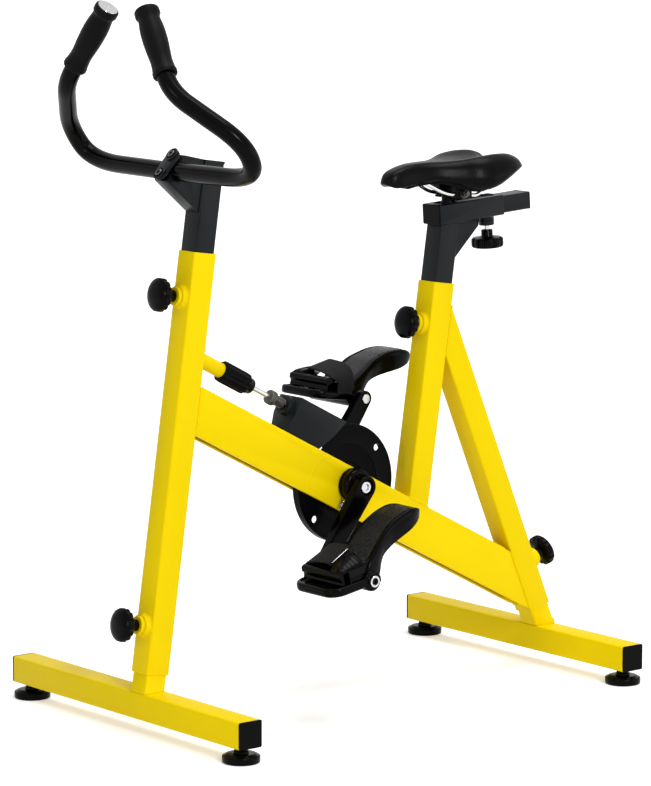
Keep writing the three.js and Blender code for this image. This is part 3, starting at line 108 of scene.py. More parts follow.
MAST = frame_at(bar_top("front_base_bar"), JOINTS["handlebar_post_slide"]["axis"])
STRUT = frame_at(bar_top("rear_base_bar"), -Vector(JOINTS["rear_leg_slide"]["axis"]))
SEAT = frame_at(crank_centre + Vector((0, SEAT_OFFSET_Y, SEAT_OFFSET_Z)) * MM, JOINTS["seat_post_slide"]["axis"])
CRANK_LEVEL = at(crank_centre)
BEAM = turned_about_x(CRANK_LEVEL, -BEAM_SLOPE)
CRANK = turned_about_x(CRANK_LEVEL, -CRANK_ANGLE)
SADDLE = at(JOINTS["saddle_tilt"]["pos_m"])
SLEEVE = spot(turned_about_x(SADDLE, SLEEVE_TILT), 0, -PIVOT_PLACE, -PIVOT_RISE)
BAR = at(JOINTS["handlebar_tilt"]["pos_m"])
STEM = spot(MAST, 0, 0, MAST_LIFT + MAST_LENGTH + POST_ABOVE)
CLAMP = turned_about_x(spot(STEM, 0, -BAR_REACH, -BAR_DROP), -STEM_TILT)

# Turns of a shape made along Z
TO_FRONT = Matrix.Rotation(math.pi / 2, 4, "X")
TO_REAR = Matrix.Rotation(-math.pi / 2, 4, "X")
TO_LEFT = Matrix.Rotation(math.pi / 2, 4, "Y")
TO_RIGHT = Matrix.Rotation(-math.pi / 2, 4, "Y")
DOWN = Matrix.Rotation(math.pi, 4, "X")
SIDES = [("left", 1, TO_LEFT), ("right", -1, TO_RIGHT)]


# Materials, all from shader nodes in object space


def new_node(tree, kind, **values):
    """A shader node with values for its inputs, whose names have underscores for spaces."""
    made = tree.nodes.new(f"ShaderNode{kind}")
    for name, value in values.items():
        made.inputs[name.replace("_", " ")].default_value = value
    return made


def material(name, colour, roughness, metallic=0.0, spread=0.15, grain=None, bump=0.0, rough_spread=0.08,
             cells=False, specular=0.5, depth=0.0004):
    """Principled finish with a little colour and roughness variation and a fine surface bump."""
    made = bpy.data.materials.new(name)
    made.use_nodes = True
    tree = made.node_tree
    link = tree.links.new
    shader = tree.nodes["Principled BSDF"].inputs
    shader["Metallic"].default_value = metallic
    shader["Specular IOR Level"].default_value = specular
    place = new_node(tree, "TexCoord").outputs["Object"]
    cloud = new_node(tree, "TexNoise", Scale=9.0, Detail=5.0)
    link(place, cloud.inputs["Vector"])
    tint = new_node(tree, "MapRange", To_Min=1.0 - spread, To_Max=1.0 + spread)
    link(cloud.outputs["Fac"], tint.inputs["Value"])
    paint = new_node(tree, "VectorMath")
    paint.operation = "SCALE"
    paint.inputs[0].default_value = colour
    link(tint.outputs["Result"], paint.inputs["Scale"])
    link(paint.outputs["Vector"], shader["Base Color"])
    gloss = new_node(tree, "MapRange", To_Min=max(0.02, roughness - rough_spread), To_Max=roughness + rough_spread)
    link(cloud.outputs["Fac"], gloss.inputs["Value"])
    link(gloss.outputs["Result"], shader["Roughness"])
    if grain:
        fine = new_node(tree, "TexVoronoi") if cells else new_node(tree, "TexNoise", Detail=3.0)
        fine.inputs["Scale"].default_value = grain
        link(place, fine.inputs["Vector"])
        relief = new_node(tree, "Bump", Strength=bump, Distance=depth)
        link(fine.outputs["Distance" if cells else "Fac"], relief.inputs["Height"])
        link(relief.outputs["Normal"], shader["Normal"])
    return made


JET = (0.0012, 0.0012, 0.0013)
YELLOW = material(
    "yellow_powder_coat", (0.93, 0.69, 0.0), 0.4, spread=0.035, grain=900, bump=0.1, specular=0.05)
BLACK_COAT = material(
    "black_powder_coat", (0.0048, 0.0066, 0.0082), 0.36, spread=0.18, grain=1100, bump=0.16,
    specular=0.13)
BAR_BLACK = material(
    "glossy_black_coat", (0.001, 0.001, 0.001), 0.2, grain=900, bump=0.04, specular=0.06)
DRUM_BLACK = material("black_painted_disc", JET, 0.32, spread=0.2, grain=700, bump=0.1, specular=0.035)
GLOSS_BLACK = material(
    "gloss_black_plastic", (0.0009, 0.0009, 0.001), 0.18, grain=500, bump=0.04, specular=0.055)
SATIN_BLACK = material("moulded_black_plastic", JET, 0.24, grain=1400, bump=0.14, specular=0.055)
VINYL = material("saddle_vinyl", JET, 0.29, grain=1500, bump=0.14, cells=True, specular=0.07)
FOAM = material("grip_rubber", JET, 0.45, spread=0.2, grain=1800, bump=0.35, specular=0.08)
WEBBING = material(
    "strap_webbing", (0.0085, 0.0088, 0.0095), 0.7, spread=0.18, grain=1300, bump=0.5, cells=True,
    specular=0.1)
TREAD = material(
    "heel_rubber", JET, 0.24, spread=0.35, grain=420, bump=1.0, cells=True, specular=0.17,
    depth=0.0024)
CHROME = material(
    "bright_steel", (0.6, 0.6, 0.61), 0.14, metallic=1.0, spread=0.08, grain=700, bump=0.03,
    rough_spread=0.05)
DULL_STEEL = material(
    "knurled_steel", (0.085, 0.08, 0.074), 0.3, metallic=1.0, spread=0.5, grain=420, bump=0.4)
DARK = material("dark_recess", (0.002, 0.002, 0.002), 0.6, spread=0.1, grain=600, bump=0.1, specular=0.05)


# Mesh building

def make_object(name, vertices, faces, place):
    mesh = bpy.data.meshes.new(name)
    mesh.from_pydata([place @ (Vector(vertex) * MM) for vertex in vertices], [], faces)
    solid = bmesh.new()
    solid.from_mesh(mesh)
    bmesh.ops.remove_doubles(solid, verts=solid.verts, dist=1e-6)
    bmesh.ops.dissolve_degenerate(solid, edges=solid.edges, dist=1e-7)
    bmesh.ops.recalc_face_normals(solid, faces=solid.faces)
    solid.to_mesh(mesh)
    solid.free()
    made = bpy.data.objects.new(name, mesh)
    bpy.context.scene.collection.objects.link(made)
    return made


def smooth(thing, angle):
    """Smooth shading with sharp edges where faces meet at more than the angle."""
    mesh = thing.data
    solid = bmesh.new()
    solid.from_mesh(mesh)
    limit = math.radians(angle)
    for face in solid.faces:
        face.smooth = True
    for edge in solid.edges:
        edge.smooth = not (len(edge.link_faces) == 2 and edge.calc_face_angle(0.0) > limit)
    solid.to_mesh(mesh)
    solid.free()


def modify(thing, name, kind, **settings):
    """A new modifier on the piece with its settings."""
    made = thing.modifiers.new(name, kind)
    for setting, value in settings.items():
        setattr(made, setting, value)


def ease_edges(thing, width, segments, angle):
    modify(thing, "eased_edges", "BEVEL", width=width * MM, segments=segments, limit_method="ANGLE",
           angle_limit=math.radians(angle))


def baked(thing):
    """Applies the piece's modifiers to its mesh."""
    bpy.context.view_layer.update()
    mesh = bpy.data.meshes.new_from_object(thing.evaluated_get(bpy.context.evaluated_depsgraph_get()))
    thing.modifiers.clear()
    thing.data = mesh


def carve(thing, cutters):
    for cutter in cutters:
        modify(thing, "carve", "BOOLEAN", operation="DIFFERENCE", solver="EXACT", object=cutter)
    baked(thing)
    for cutter in cutters:
        bpy.data.objects.remove(cutter)


def finish_piece(thing, body, finish, replaces=()):
    thing.data.materials.clear()
    thing.data.materials.append(finish)
    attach(thing, body)
    if replaces:
        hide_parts(*replaces)


def add(name, shape, place, body, finish, replaces=(), edge=0.0, segments=2, angle=40.0, cutters=()):
    """A piece made in a member's frame. It replaces the node of its own name unless others are given."""
    thing = make_object(name, *shape, place)
    if cutters:
        carve(thing, [make_object(f"{name}_tool_{i}", *cutter, place) for i, cutter in enumerate(cutters)])
    smooth(thing, angle)
    if edge:
        ease_edges(thing, edge, segments, angle)
        modify(thing, "even_normals", "WEIGHTED_NORMAL", keep_sharp=True)
    own = [name] if name in NODES else []
    finish_piece(thing, body, finish, replaces or own)


def ribbed(profile, lobes, depth, steps, sharpness=1.0):
    """A turned shape whose rings dip between lobes; each profile row is radius, height and how much it dips."""
    vertices, faces = [], []
    for radius, height, share in profile:
        for k in range(steps):
            angle = 2 * math.pi * k / steps
            dip = (0.5 - 0.5 * math.cos(lobes * angle)) ** sharpness
            reach = radius - depth * share * dip
            vertices.append((reach * math.cos(angle), reach * math.sin(angle), height))
    for i in range(len(profile) - 1):
        for k in range(steps):
            a, b = i * steps + k, i * steps + (k + 1) % steps
            faces.append((a, b, b + steps, a + steps))
    return vertices, faces


def lathe(profile, steps):
    """A turned shape about Z from a profile of radius and height."""
    return ribbed([(radius, height, 0) for radius, height in profile], 1, 0, steps)


def limited(value):
    return min(1.0, max(0.0, value))


def raised(rows, base):
    """Rows whose second number, the height, is counted from base."""
    return [(first, base + height, *rest) for first, height, *rest in rows]


def arc(centre, radius, start, end, steps):
    return [(centre[0] + radius * math.cos(math.radians(start + (end - start) * k / steps)),
             centre[1] + radius * math.sin(math.radians(start + (end - start) * k / steps)))
            for k in range(steps + 1)]


def hexagon(radius):
    return arc((0, 0), radius, 0, 300, 5)


def bent_line(points, bends, fine=10):
    """Straight runs joined by curves that start and end at the given distances from each corner."""
    line = [points[0]]
    for i, (before, after) in enumerate(bends):
        corner = points[i + 1]
        start = corner + (points[i] - corner).normalized() * before
        end = corner + (points[i + 2] - corner).normalized() * after
        for k in range(fine + 1):
            t = k / fine
            line.append(start * (1 - t) ** 2 + corner * 2 * t * (1 - t) + end * t ** 2)
    line.append(points[-1])
    return line


def rounded(points, radius, steps=4):
    """A profile or outline whose inner corners are rounded with arcs drawn as short curves."""
    line = vectors(points)
    reaches = [min(radius, (before - corner).length * 0.45, (after - corner).length * 0.45)
               for before, corner, after in zip(line, line[1:], line[2:])]
    return [tuple(point) for point in bent_line(line, [(reach, reach) for reach in reaches], steps)]


def closed_rounded(points, radius, steps=4):
    ring = [points[-1], *points, points[0]]
    return rounded(ring, radius, steps)[1:-1]


def level(outline, height):
    """An outline in the XY plane, put at a height."""
    return [(x, y, height) for x, y in outline]


def prism(outline, low, high):
    """An outline in the XY plane raised from low to high."""
    count = len(outline)
    vertices = level(outline, low) + level(outline, high)
    faces = [tuple(range(count - 1, -1, -1)), tuple(range(count, 2 * count))]
    faces += [(k, (k + 1) % count, count + (k + 1) % count, count + k) for k in range(count)]
    return vertices, faces


def side_plate(outline, low, high):
    """An outline along Y and up Z, spread along X from low to high."""
    vertices, faces = prism(outline, low, high)
    return [(z, x, y) for x, y, z in vertices], faces


def disc(radius, low, high, edge=0.0, steps=64):
    profile = [(0, low), (radius, low), (radius, high), (0, high)]
    return lathe(rounded(profile, edge) if edge else profile, steps)


def loft(rings):
    """A skin through closed rings that have the same number of points."""
    count = len(rings[0])
    vertices = [point for ring in rings for point in ring]
    faces = []
    for i in range(len(rings) - 1):
        for k in range(count):
            a, b = i * count + k, i * count + (k + 1) % count
            faces.append((a, b, b + count, a + count))
    faces.append(tuple(range(count - 1, -1, -1)))
    faces.append(tuple(range(len(vertices) - count, len(vertices))))
    return vertices, faces


def sweep(points, radius, sides):
    """A round rod along points; radius is a number or one value for each point."""
    line = vectors(points)
    radii = radius if isinstance(radius, list) else [radius] * len(line)
    rings = []
    normal = None
    for point, behind, ahead, reach in zip(line, line[:1] + line, line[1:] + line[-1:], radii):
        tangent = (ahead - behind).normalized()
        normal = normal or tangent.orthogonal()
        normal = (normal - tangent * normal.dot(tangent)).normalized()
        side = tangent.cross(normal)
        turns = [2 * math.pi * k / sides for k in range(sides)]
        rings.append([tuple(point + (normal * math.cos(turn) + side * math.sin(turn)) * reach) for turn in turns])
    return loft(rings)


def together(*shapes):
    vertices, faces = [], []
    for shape_vertices, shape_faces in shapes:
        start = len(vertices)
        vertices += shape_vertices
        faces += [tuple(start + i for i in face) for face in shape_faces]
    return vertices, faces


def moved(shape, x=0.0, y=0.0, z=0.0, turn=None):
    vertices, faces = shape
    turn = turn or Matrix.Identity(4)
    shift = Vector((x, y, z))
    return [tuple(turn @ Vector(v) + shift) for v in vertices], faces


def vectors(points):
    return [Vector(point) for point in points]


def spline(points, steps):
    """A smooth line through points, which are vectors or plain numbers."""
    line = []
    for a, b, c, d in zip(points[:1] + points, points, points[1:], points[2:] + points[-1:]):
        for k in range(steps):
            t = k / steps
            line.append(
                0.5 * (2 * b + (c - a) * t + (2 * a - 5 * b + 4 * c - d) * t * t + (3 * b - a - 3 * c + d) * t ** 3))
    return line + points[-1:]


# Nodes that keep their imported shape: their finish, how far their edges are eased, and their names. Nodes that
# are not named here have the finish of the caps, and most of them are replaced by pieces below

TUBE_EDGE, SHEET_EDGE, MOULDED_EDGE = 0.6, 0.5, 0.7
PACKED_FINISHES = [
    (YELLOW, TUBE_EDGE, ["front_base_bar", "rear_base_bar", "front_leg_tube", "rear_leg_tube", "mast_tube",
                         "seat_tube", "rear_strut"]),
    (YELLOW, SHEET_EDGE, ["main_beam"]),
    (BLACK_COAT, TUBE_EDGE, ["handlebar_post", "seat_post"]),
    (BLACK_COAT, SHEET_EDGE, ["brake_housing", "stem_bracket", "slider_sleeve", "saddle_slider"]),
    (SATIN_BLACK, MOULDED_EDGE, ["saddle_yoke"]),
    (DARK, SHEET_EDGE, ["brake_shoe"]),
]


def dress(node, finish, edge):
    """Finish, welded corners and eased edges of a node shown as packed, by modifiers only."""
    node.data.materials.clear()
    node.data.materials.append(finish)
    modify(node, "welded", "WELD", merge_threshold=1e-6)
    node.data.polygons.foreach_set("use_smooth", [True] * len(node.data.polygons))
    ease_edges(node, edge, 2, 50)
    modify(node, "sharp_corners", "EDGE_SPLIT", split_angle=math.radians(38))


dressed = {node_name: (finish, edge) for finish, edge, node_names in PACKED_FINISHES for node_name in node_names}
for node_name, node in NODES.items():
    dress(node, *dressed.get(node_name, (GLOSS_BLACK, SHEET_EDGE)))


# Clamping knobs on their bosses: scalloped rim, glossy dome and hub, made along Z from the tube's face outward

KNOB_RIM, KNOB_HUB, KNOB_DEPTH = 28.0, 10.0, 19.0
BOSS_HEIGHT = 16.0
UPPER_KNOB, LOWER_KNOB, STRUT_KNOB, SEAT_KNOB_DROP, SLEEVE_KNOB = 620.0, 79.0, 83.0, 73.6, 97.8


def make_knob(name, place, reach, collar=16.0, lobes=14, depth=2.0, sharpness=2.0, crown=4.8):
    """Fluted knob on its hub. A high crown leaves its rim round, and a low one keeps the flutes to the end."""
    flutes = (0.7, 0.25, 0.05, 0) if crown > 2 else (1, 0.95, 0.75, 0.3)
    hub = [(0, 0.3, 0), (KNOB_HUB - 1, 0.3, 0), (KNOB_HUB, 1.3, 0)]
    back = [(KNOB_HUB, -2, 0), (KNOB_HUB + 1.5, 0, 0), (KNOB_RIM - 5, 0.5, 0.4), (KNOB_RIM - 2, 1.2, 0.9),
            (KNOB_RIM - 0.6, 2.6, 1), (KNOB_RIM, 4.5, 1)]
    front = [
        (KNOB_RIM, -5.7, 1), (KNOB_RIM, -4.2, flutes[0]), (KNOB_RIM - 0.2, -3, flutes[1]),
        (KNOB_RIM - 1, -1.6, flutes[2]), (KNOB_RIM - 2.6, -0.2, flutes[3]), (KNOB_RIM - 5.5, 0.29 * crown, 0),
        (20, 0.56 * crown, 0), (15, 0.79 * crown, 0), (9, 0.94 * crown, 0), (4, 0.99 * crown, 0), (0, crown, 0)]
    profile = raised(hub, collar) + raised(back, reach - KNOB_DEPTH) + raised(front, reach - crown)
    add(name, ribbed(profile, lobes, depth, 168, sharpness), place, name, GLOSS_BLACK, angle=55)
    add(f"{name}_stud", disc(5, -1.6, collar + 0.6, 0.5, 32), place, name, CHROME)


def make_boss(name, place, radius, tip_radius, base, body, finish):
    """Smooth skin over a threaded boss, a hair larger than the boss itself, with its weld at the foot."""
    top = BOSS_HEIGHT + SKIN
    skin = [(5.9, top), (tip_radius - 0.4, top), (tip_radius + SKIN, BOSS_HEIGHT - 0.6),
            (tip_radius + SKIN, base + 0.8), (tip_radius + 0.9, base + SKIN), (radius - 1.1, base + SKIN),
            (radius + SKIN, base - 0.9), (radius + SKIN, 2.6), (radius + 1.0, 1.2), (radius + 2.4, 0.15),
            (radius - 2, 0.1), (5.9, 0.1), (5.9, top)]
    add(name, lathe(skin, 72), place, body, finish, angle=32)


for name, place, reach in [("mast_upper", spot(MAST, 0, -HALF, MAST_LIFT + UPPER_KNOB) @ TO_FRONT, 56),
                           ("mast_lower", spot(MAST, 0, -HALF, MAST_LIFT + LOWER_KNOB) @ TO_FRONT, 56),
                           ("seat_tube", spot(SEAT, 0, -HALF, SEAT_TUBE_TOP - SEAT_KNOB_DROP) @ TO_FRONT, 45),
                           ("strut", spot(STRUT, 0, HALF, STRUT_LIFT + STRUT_KNOB) @ TO_REAR, 46)]:
    make_knob(f"knob_{name}", place, reach)
    make_boss(f"boss_{name}", place, 18.5, 15.0, 10.0, "frame", YELLOW)
sleeve_knob = spot(SLEEVE, 0, SLEEVE_KNOB, 0) @ DOWN
make_knob("knob_sleeve", sleeve_knob, 56, collar=24, lobes=9, depth=2.6, sharpness=3.5, crown=1.0)
make_boss("boss_sleeve", sleeve_knob, 13.0, 13.0, 8.0, "seat_post", BLACK_COAT)


# Levelling feet with their lock nuts

foot_profile = [
    (0, 0), (27.5, 0), (29.4, 0.4), (30.6, 1.4), (31, 2.8), (31, 10.2), (30.5, 11.6), (29, 12.5), (26.4, 12.9),
    (25.5, 13.6), (24.6, 14.7), (22, 15.2), (13.5, 15.2), (12.6, 16), (12.4, 18.4), (11.6, 19.2), (6.4, 19.2),
    (6.0, 19.8), (6, 36), (0, 36)]
for name in ("front_foot_left", "front_foot_right", "rear_foot_left", "rear_foot_right"):
    centre = node_centre(name)
    place = at((centre.x, centre.y, 0))
    add(name, lathe(foot_profile, 96), place, name, GLOSS_BLACK)
    add(f"{name}_nut", prism(hexagon(11.2), 19.5, 25.6), place, name, SATIN_BLACK, edge=0.6,
        cutters=[disc(6.15, 18, 27, 0, 40)])


# Crank bearings, arms, bolts and drum

AXLE, NOSE = 12.0, 9.0
INNER_FACE, OUTER_FACE = 50.0, 66.0
BOLT_PLACE, HOLE_CIRCLE = 60.0, 87.0

bearing_profile = [
    (12.45, 22.9), (26.4, 22.9), (27.7, 23.4), (28.4, 24.6), (28.4, 30.5), (27.8, 31.4), (27.8, 32.6), (28.4, 33.4),
    (28.4, 41.2), (27.9, 43.2), (26.4, 45.2), (24, 46.4), (21, 46.8), (19.2, 46.4), (18.4, 45), (13.6, 45),
    (12.45, 44.2), (12.45, 22.9)]
for side, _, turn in SIDES:
    add(f"bearing_{side}", lathe(bearing_profile, 96), CRANK_LEVEL @ turn, "frame", GLOSS_BLACK, angle=50)

half_axle = [(0, -59.7), (8.2, -59.7), (NOSE, -58.9), (NOSE, -49.7), (AXLE - 0.6, -49.7), (AXLE, -49.1)]
axle_profile = half_axle + [(radius, -height) for radius, height in reversed(half_axle)]
add("crank_axle", lathe(axle_profile, 64), CRANK @ TO_LEFT, "crank", CHROME, angle=30)


def crank_arm_shape():
    """Arm along -Z from the axle, as rings of its outline that draw in towards both faces."""
    rings = []
    for inset, x in (raised([(1.6, 0), (0.7, 0.3), (0.1, 1.1), (0, 2.2)], INNER_FACE)
                     + raised([(0, -3), (0.35, -1.3), (1.3, -0.35), (2.6, 0)], OUTER_FACE)):
        outline = arc((0, 0), 20 - inset, 0, 180, 28) + arc((0, -CRANK_LENGTH), 13.8 - inset, 180, 360, 28)
        rings.append([(x, y, z) for y, z in outline])
    return loft(rings)


bolt_head = raised([(0, 0), (9.4, 0), (10, 0.6), (10, 3.6), (9.3, 4.3), (6.2, 4.3), (5.6, 3.4), (5.4, 1.4), (0, 1.4)],
                   BOLT_PLACE)
for side, sign, _ in SIDES:
    place = CRANK @ Matrix.Diagonal((sign, 1, sign, 1))
    add(f"crank_{side}", crank_arm_shape(), place, "crank", GLOSS_BLACK, edge=0.35, angle=28,
        cutters=[moved(disc(NOSE + CLEARANCE, 0, 80, 0, 48), turn=TO_LEFT),
                 moved(disc(14, OUTER_FACE - 6, OUTER_FACE + 10), turn=TO_LEFT),
                 moved(disc(8.3, 0, 80, 0, 48), 0, 0, -CRANK_LENGTH, TO_LEFT)])
    add(f"crank_bolt_{side}", moved(lathe(bolt_head, 48), turn=TO_LEFT), place, "crank", CHROME, angle=35)

drum_profile = [
    (12.3, -8), (19.4, -8), (20, -7.4), (20, 5), (97.4, 5), (98, 4.4), (98, -7.2), (98.8, -8), (101.2, -8),
    (102, -7.2), (102, 7.4), (101.3, 8.6), (99.8, 9), (96.5, 9), (95.9, 8.5), (95.3, 8.5), (94.7, 9), (68.6, 9),
    (68, 9.15), (67.4, 9.7), (66.6, 9.7), (66, 9.15), (65.4, 9), (38, 9), (37.2, 8.4), (36.4, 8.4), (35.6, 9),
    (12.3, 9), (12.3, -8)]
drum_holes = [moved(disc(6.2, -20, 20, 0, 40), *centre) for centre in arc((0, 0), HOLE_CIRCLE, 74.5, 344.5, 3)]
add("brake_drum", lathe(drum_profile, 160), CRANK @ TO_LEFT, "crank", DRUM_BLACK, cutters=drum_holes, angle=25)


# Handlebar and its grips

BAR_RADIUS = 15.0
BAR_TIP = Vector((52, -90, 265))
BAR_KNEE = Vector((142, -110, 141))
BAR_ELBOW = Vector((240, -36, 60))
BAR_SHOULDER = Vector((222, -2, 2))
GRIP_CAP = 4.0


def mirrored_x(points):
    return [Vector((-point.x, point.y, point.z)) for point in reversed(points)]


tip_run = BAR_TIP - BAR_KNEE
bar_end = BAR_KNEE + tip_run.normalized() * (tip_run.length - GRIP_CAP - CLEARANCE)
left_points = [bar_end, BAR_KNEE, BAR_ELBOW, BAR_SHOULDER]
half_bends = [(30, 35), (50, 34), (34, 80)]
bar_line = bent_line([*left_points, Vector((0, 0, 0)), *mirrored_x(left_points)],
                     [*half_bends, (15, 15), *[(b, a) for a, b in reversed(half_bends)]], 14)
add("handlebar_tube", sweep(bar_line, BAR_RADIUS, 40), BAR, "handlebar", BAR_BLACK, angle=45)


def grip_shape():
    """Grip along Z up to 0 at its end: collar, waist, palm swell with finger waves, and the rim."""
    rings = []
    for height, radius, wave in [
            (-124, 17.6, 0), (-123.4, 19.2, 0), (-121.6, 20, 0), (-116.6, 20, 0), (-115, 19.3, 0), (-113, 18.8, 0),
            (-104, 17.9, 0.1), (-96, 17.6, 0.3), (-88, 18.2, 0.7), (-80, 18.9, 1), (-70, 19.7, 1), (-60, 20.2, 1),
            (-48, 20.3, 1), (-38, 20.0, 1), (-30, 19.2, 0.8), (-23, 18.2, 0.4), (-18, 17.8, 0.1), (-14.5, 18.3, 0),
            (-12.4, 19.8, 0), (-11, 20.5, 0), (-4, 20.5, 0), (-2, 20.2, 0), (-0.8, 19.4, 0), (0, 18, 0)]:
        groove = 0.5 - 0.5 * math.cos(math.radians(height * 22))
        ring = []
        for k in range(72):
            angle = 2 * math.pi * k / 72
            panel = max(0.0, math.cos(angle - 0.6 - height / 70)) ** 6
            dip = 0.9 * panel * groove + 0.5 * (1 - panel) * max(0.0, math.cos(2 * angle)) ** 8
            ring.append(((radius - wave * dip) * math.cos(angle), (radius - wave * dip) * math.sin(angle), height))
        rings.append(ring)
    return loft(rings)


tip_turn = Vector((0, 0, 1)).rotation_difference(tip_run.normalized()).to_matrix().to_4x4()
plug_profile = [
    (0, 0.1), (16.4, 0.1), (17, 0.5), (16.6, 0.9), (15.6, 1.1), (3.2, 1.1), (2.6, 0.9), (2.4, 0.3), (0, 0.3)]
for (side, sign, _), plug_finish in zip(SIDES, (SATIN_BLACK, CHROME)):
    place = BAR @ Matrix.Diagonal((sign, 1, 1, 1)) @ at(BAR_TIP * MM) @ tip_turn
    bore = disc(BAR_RADIUS + CLEARANCE, -140, -GRIP_CAP)
    add(f"grip_{side}", grip_shape(), place, "handlebar", FOAM, cutters=[bore])
    add(f"grip_plug_{side}", lathe(plug_profile, 64), place, "handlebar", plug_finish, angle=30)


# Brake adjuster along the beam: tube, ribbed handle, threaded rod with its knurled cup, and the spring

ADJUSTER = spot(BEAM, 0, 0, ADJUSTER_RISE) @ TO_REAR
TUBE_END, HANDLE_REAR = -329.0, -259.0
HANDLE_FRONT = TUBE_END + CLEARANCE
CUP_BACK, CUP_REAR = -217.0, -205.0
ROD = 4.4
SPRING_CURLS, CURL_STEPS, SPRING_PITCH, SPRING_RADIUS, WIRE = 9, 32, 3.4, 8.0, 1.0


def trim(thing, place, y):
    """Cuts a piece off where it passes a plane square to a member's Y, keeping the rear side."""
    mesh = thing.data
    solid = bmesh.new()
    solid.from_mesh(mesh)
    origin = place @ (Vector((0, y, 0)) * MM)
    normal = (place.to_3x3() @ Vector((0, 1, 0))).normalized()
    cut = bmesh.ops.bisect_plane(
        solid, geom=solid.verts[:] + solid.edges[:] + solid.faces[:], plane_co=origin, plane_no=normal,
        clear_inner=True, dist=1e-7)
    edges = [item for item in cut["geom_cut"] if isinstance(item, bmesh.types.BMEdge)]
    bmesh.ops.holes_fill(solid, edges=edges, sides=0)
    bmesh.ops.recalc_face_normals(solid, faces=solid.faces)
    solid.to_mesh(mesh)
    solid.free()


tube_profile = [
    (10.5, -460), (12.5, -460),
    *raised([(12.5, -0.9), (12.1, -0.2), (11.4, 0), (10.7, -0.2), (10.5, -0.8)], TUBE_END), (10.5, -460)]
outer_tube = make_object("adjuster_tube_smooth", *lathe(tube_profile, 72), ADJUSTER)
trim(outer_tube, MAST, HALF + CLEARANCE)
smooth(outer_tube, 35)
finish_piece(outer_tube, "frame", YELLOW, ["adjuster_tube"])

handle_profile = [
    *raised([(4.8, -14, 0), (9.6, -14, 0), (10.1, -13.4, 0), (10.1, 0, 0), (15.8, 0, 0), (17, 0.5, 0.3),
             (18.1, 1.8, 0.8), (18.5, 3.6, 1), (18.5, 30, 1)], HANDLE_FRONT),
    *raised([(18.4, -16, 1), (18, -13.6, 0.8), (16.9, -12.2, 0.4), (15, -11.4, 0), (14, -10.4, 0), (13.6, -3, 0),
             (13, -1, 0), (11.6, -0.2, 0), (10, 0, 0), (6.2, 0, 0), (5.2, -1, 0), (4.8, -2, 0)], HANDLE_REAR),
    (4.8, HANDLE_FRONT - 14, 0)]
add("adjuster_handle", ribbed(handle_profile, 12, 2.6, 144, 1.6), ADJUSTER, "adjuster_handle", SATIN_BLACK, angle=50)

rod_profile = [
    (0, -334.6), (ROD - 0.7, -334.6), (ROD, -333.9), (ROD, CUP_BACK + 0.4), (ROD, -122.8), (ROD - 0.4, -122.4),
    (0, -122.4)]
add("adjuster_rod", lathe(rod_profile, 40), ADJUSTER, "brake_rod", CHROME, angle=30)
cup_profile = [
    *raised([(ROD + 0.1, 0, 0), (10.6, 0, 0), (11.8, 0.6, 0.4), (12.5, 1.8, 1), (12.5, 5.4, 1), (12.1, 5.9, 0),
             (11.7, 6.6, 0), (12.1, 7.3, 0), (12.5, 7.8, 1)], CUP_BACK),
    *raised([(12.5, -1.2, 1), (12, -0.2, 0.2), (11.4, 0, 0), (10.6, -0.5, 0), (10.5, -1.2, 0)], CUP_REAR),
    *raised([(10.5, 2, 0), (ROD + 0.1, 2, 0), (ROD + 0.1, 0, 0)], CUP_BACK)]
add("adjuster_cup", ribbed(cup_profile, 36, 0.55, 216), ADJUSTER, "brake_rod", DULL_STEEL, angle=60)

spring_line = []
for k in range(SPRING_CURLS * CURL_STEPS + 1):
    angle = 2 * math.pi * k / CURL_STEPS
    spring_line.append((SPRING_RADIUS * math.cos(angle), SPRING_RADIUS * math.sin(angle),
                        CUP_BACK + 3.7 + SPRING_PITCH * k / CURL_STEPS))
add("adjuster_spring", sweep(spring_line, WIRE, 12), ADJUSTER, "brake_rod", DULL_STEEL, angle=60)


# Nut and washer under the beam's near edge, and welds where the members meet

BEAM_TOP, BEAM_BOTTOM = 27.7, -48.3
BEAD, BEAD_STEP = 1.7, 1.1
RING_CENTRE, RING_RADIUS = (0, -21), 88.0

nut_place = spot(BEAM, HALF + 0.2, 1.3, -38.8) @ TO_LEFT
add("axle_guard_washer", disc(9, 0, 1.4, 0.3, 48), nut_place, "frame", CHROME)
add("axle_guard_nut", prism(hexagon(7), 1.5, 7), nut_place, "frame", CHROME, edge=0.6)
add("axle_guard_stud", disc(3.9, 7.0, 10.5, 0.6, 32), nut_place, "frame", CHROME)


def weld(name, points, place):
    """A rippled bead along points given in millimetres."""
    line = []
    for start, end in zip(points, points[1:]):
        count = max(2, int((end - start).length / BEAD_STEP))
        line += [start + (end - start) * (k / count) for k in range(count)]
    line.append(points[-1])
    radii = [BEAD * (0.86 + 0.14 * math.cos(math.pi * k / 2)) for k in range(len(line))]
    radii[0] = radii[-1] = BEAD * 0.5
    add(name, sweep(line, radii, 10), place, "frame", YELLOW, angle=70)


def crossing(place, point, along, other, axis, value):
    """Point in another member's frame where a line of this member comes to a value on one of its axes."""
    into = other.inverted() @ place
    start = into @ (Vector(point) * MM) / MM
    step = into.to_3x3() @ Vector(along)
    return start + step * ((value - start[axis]) / step[axis])


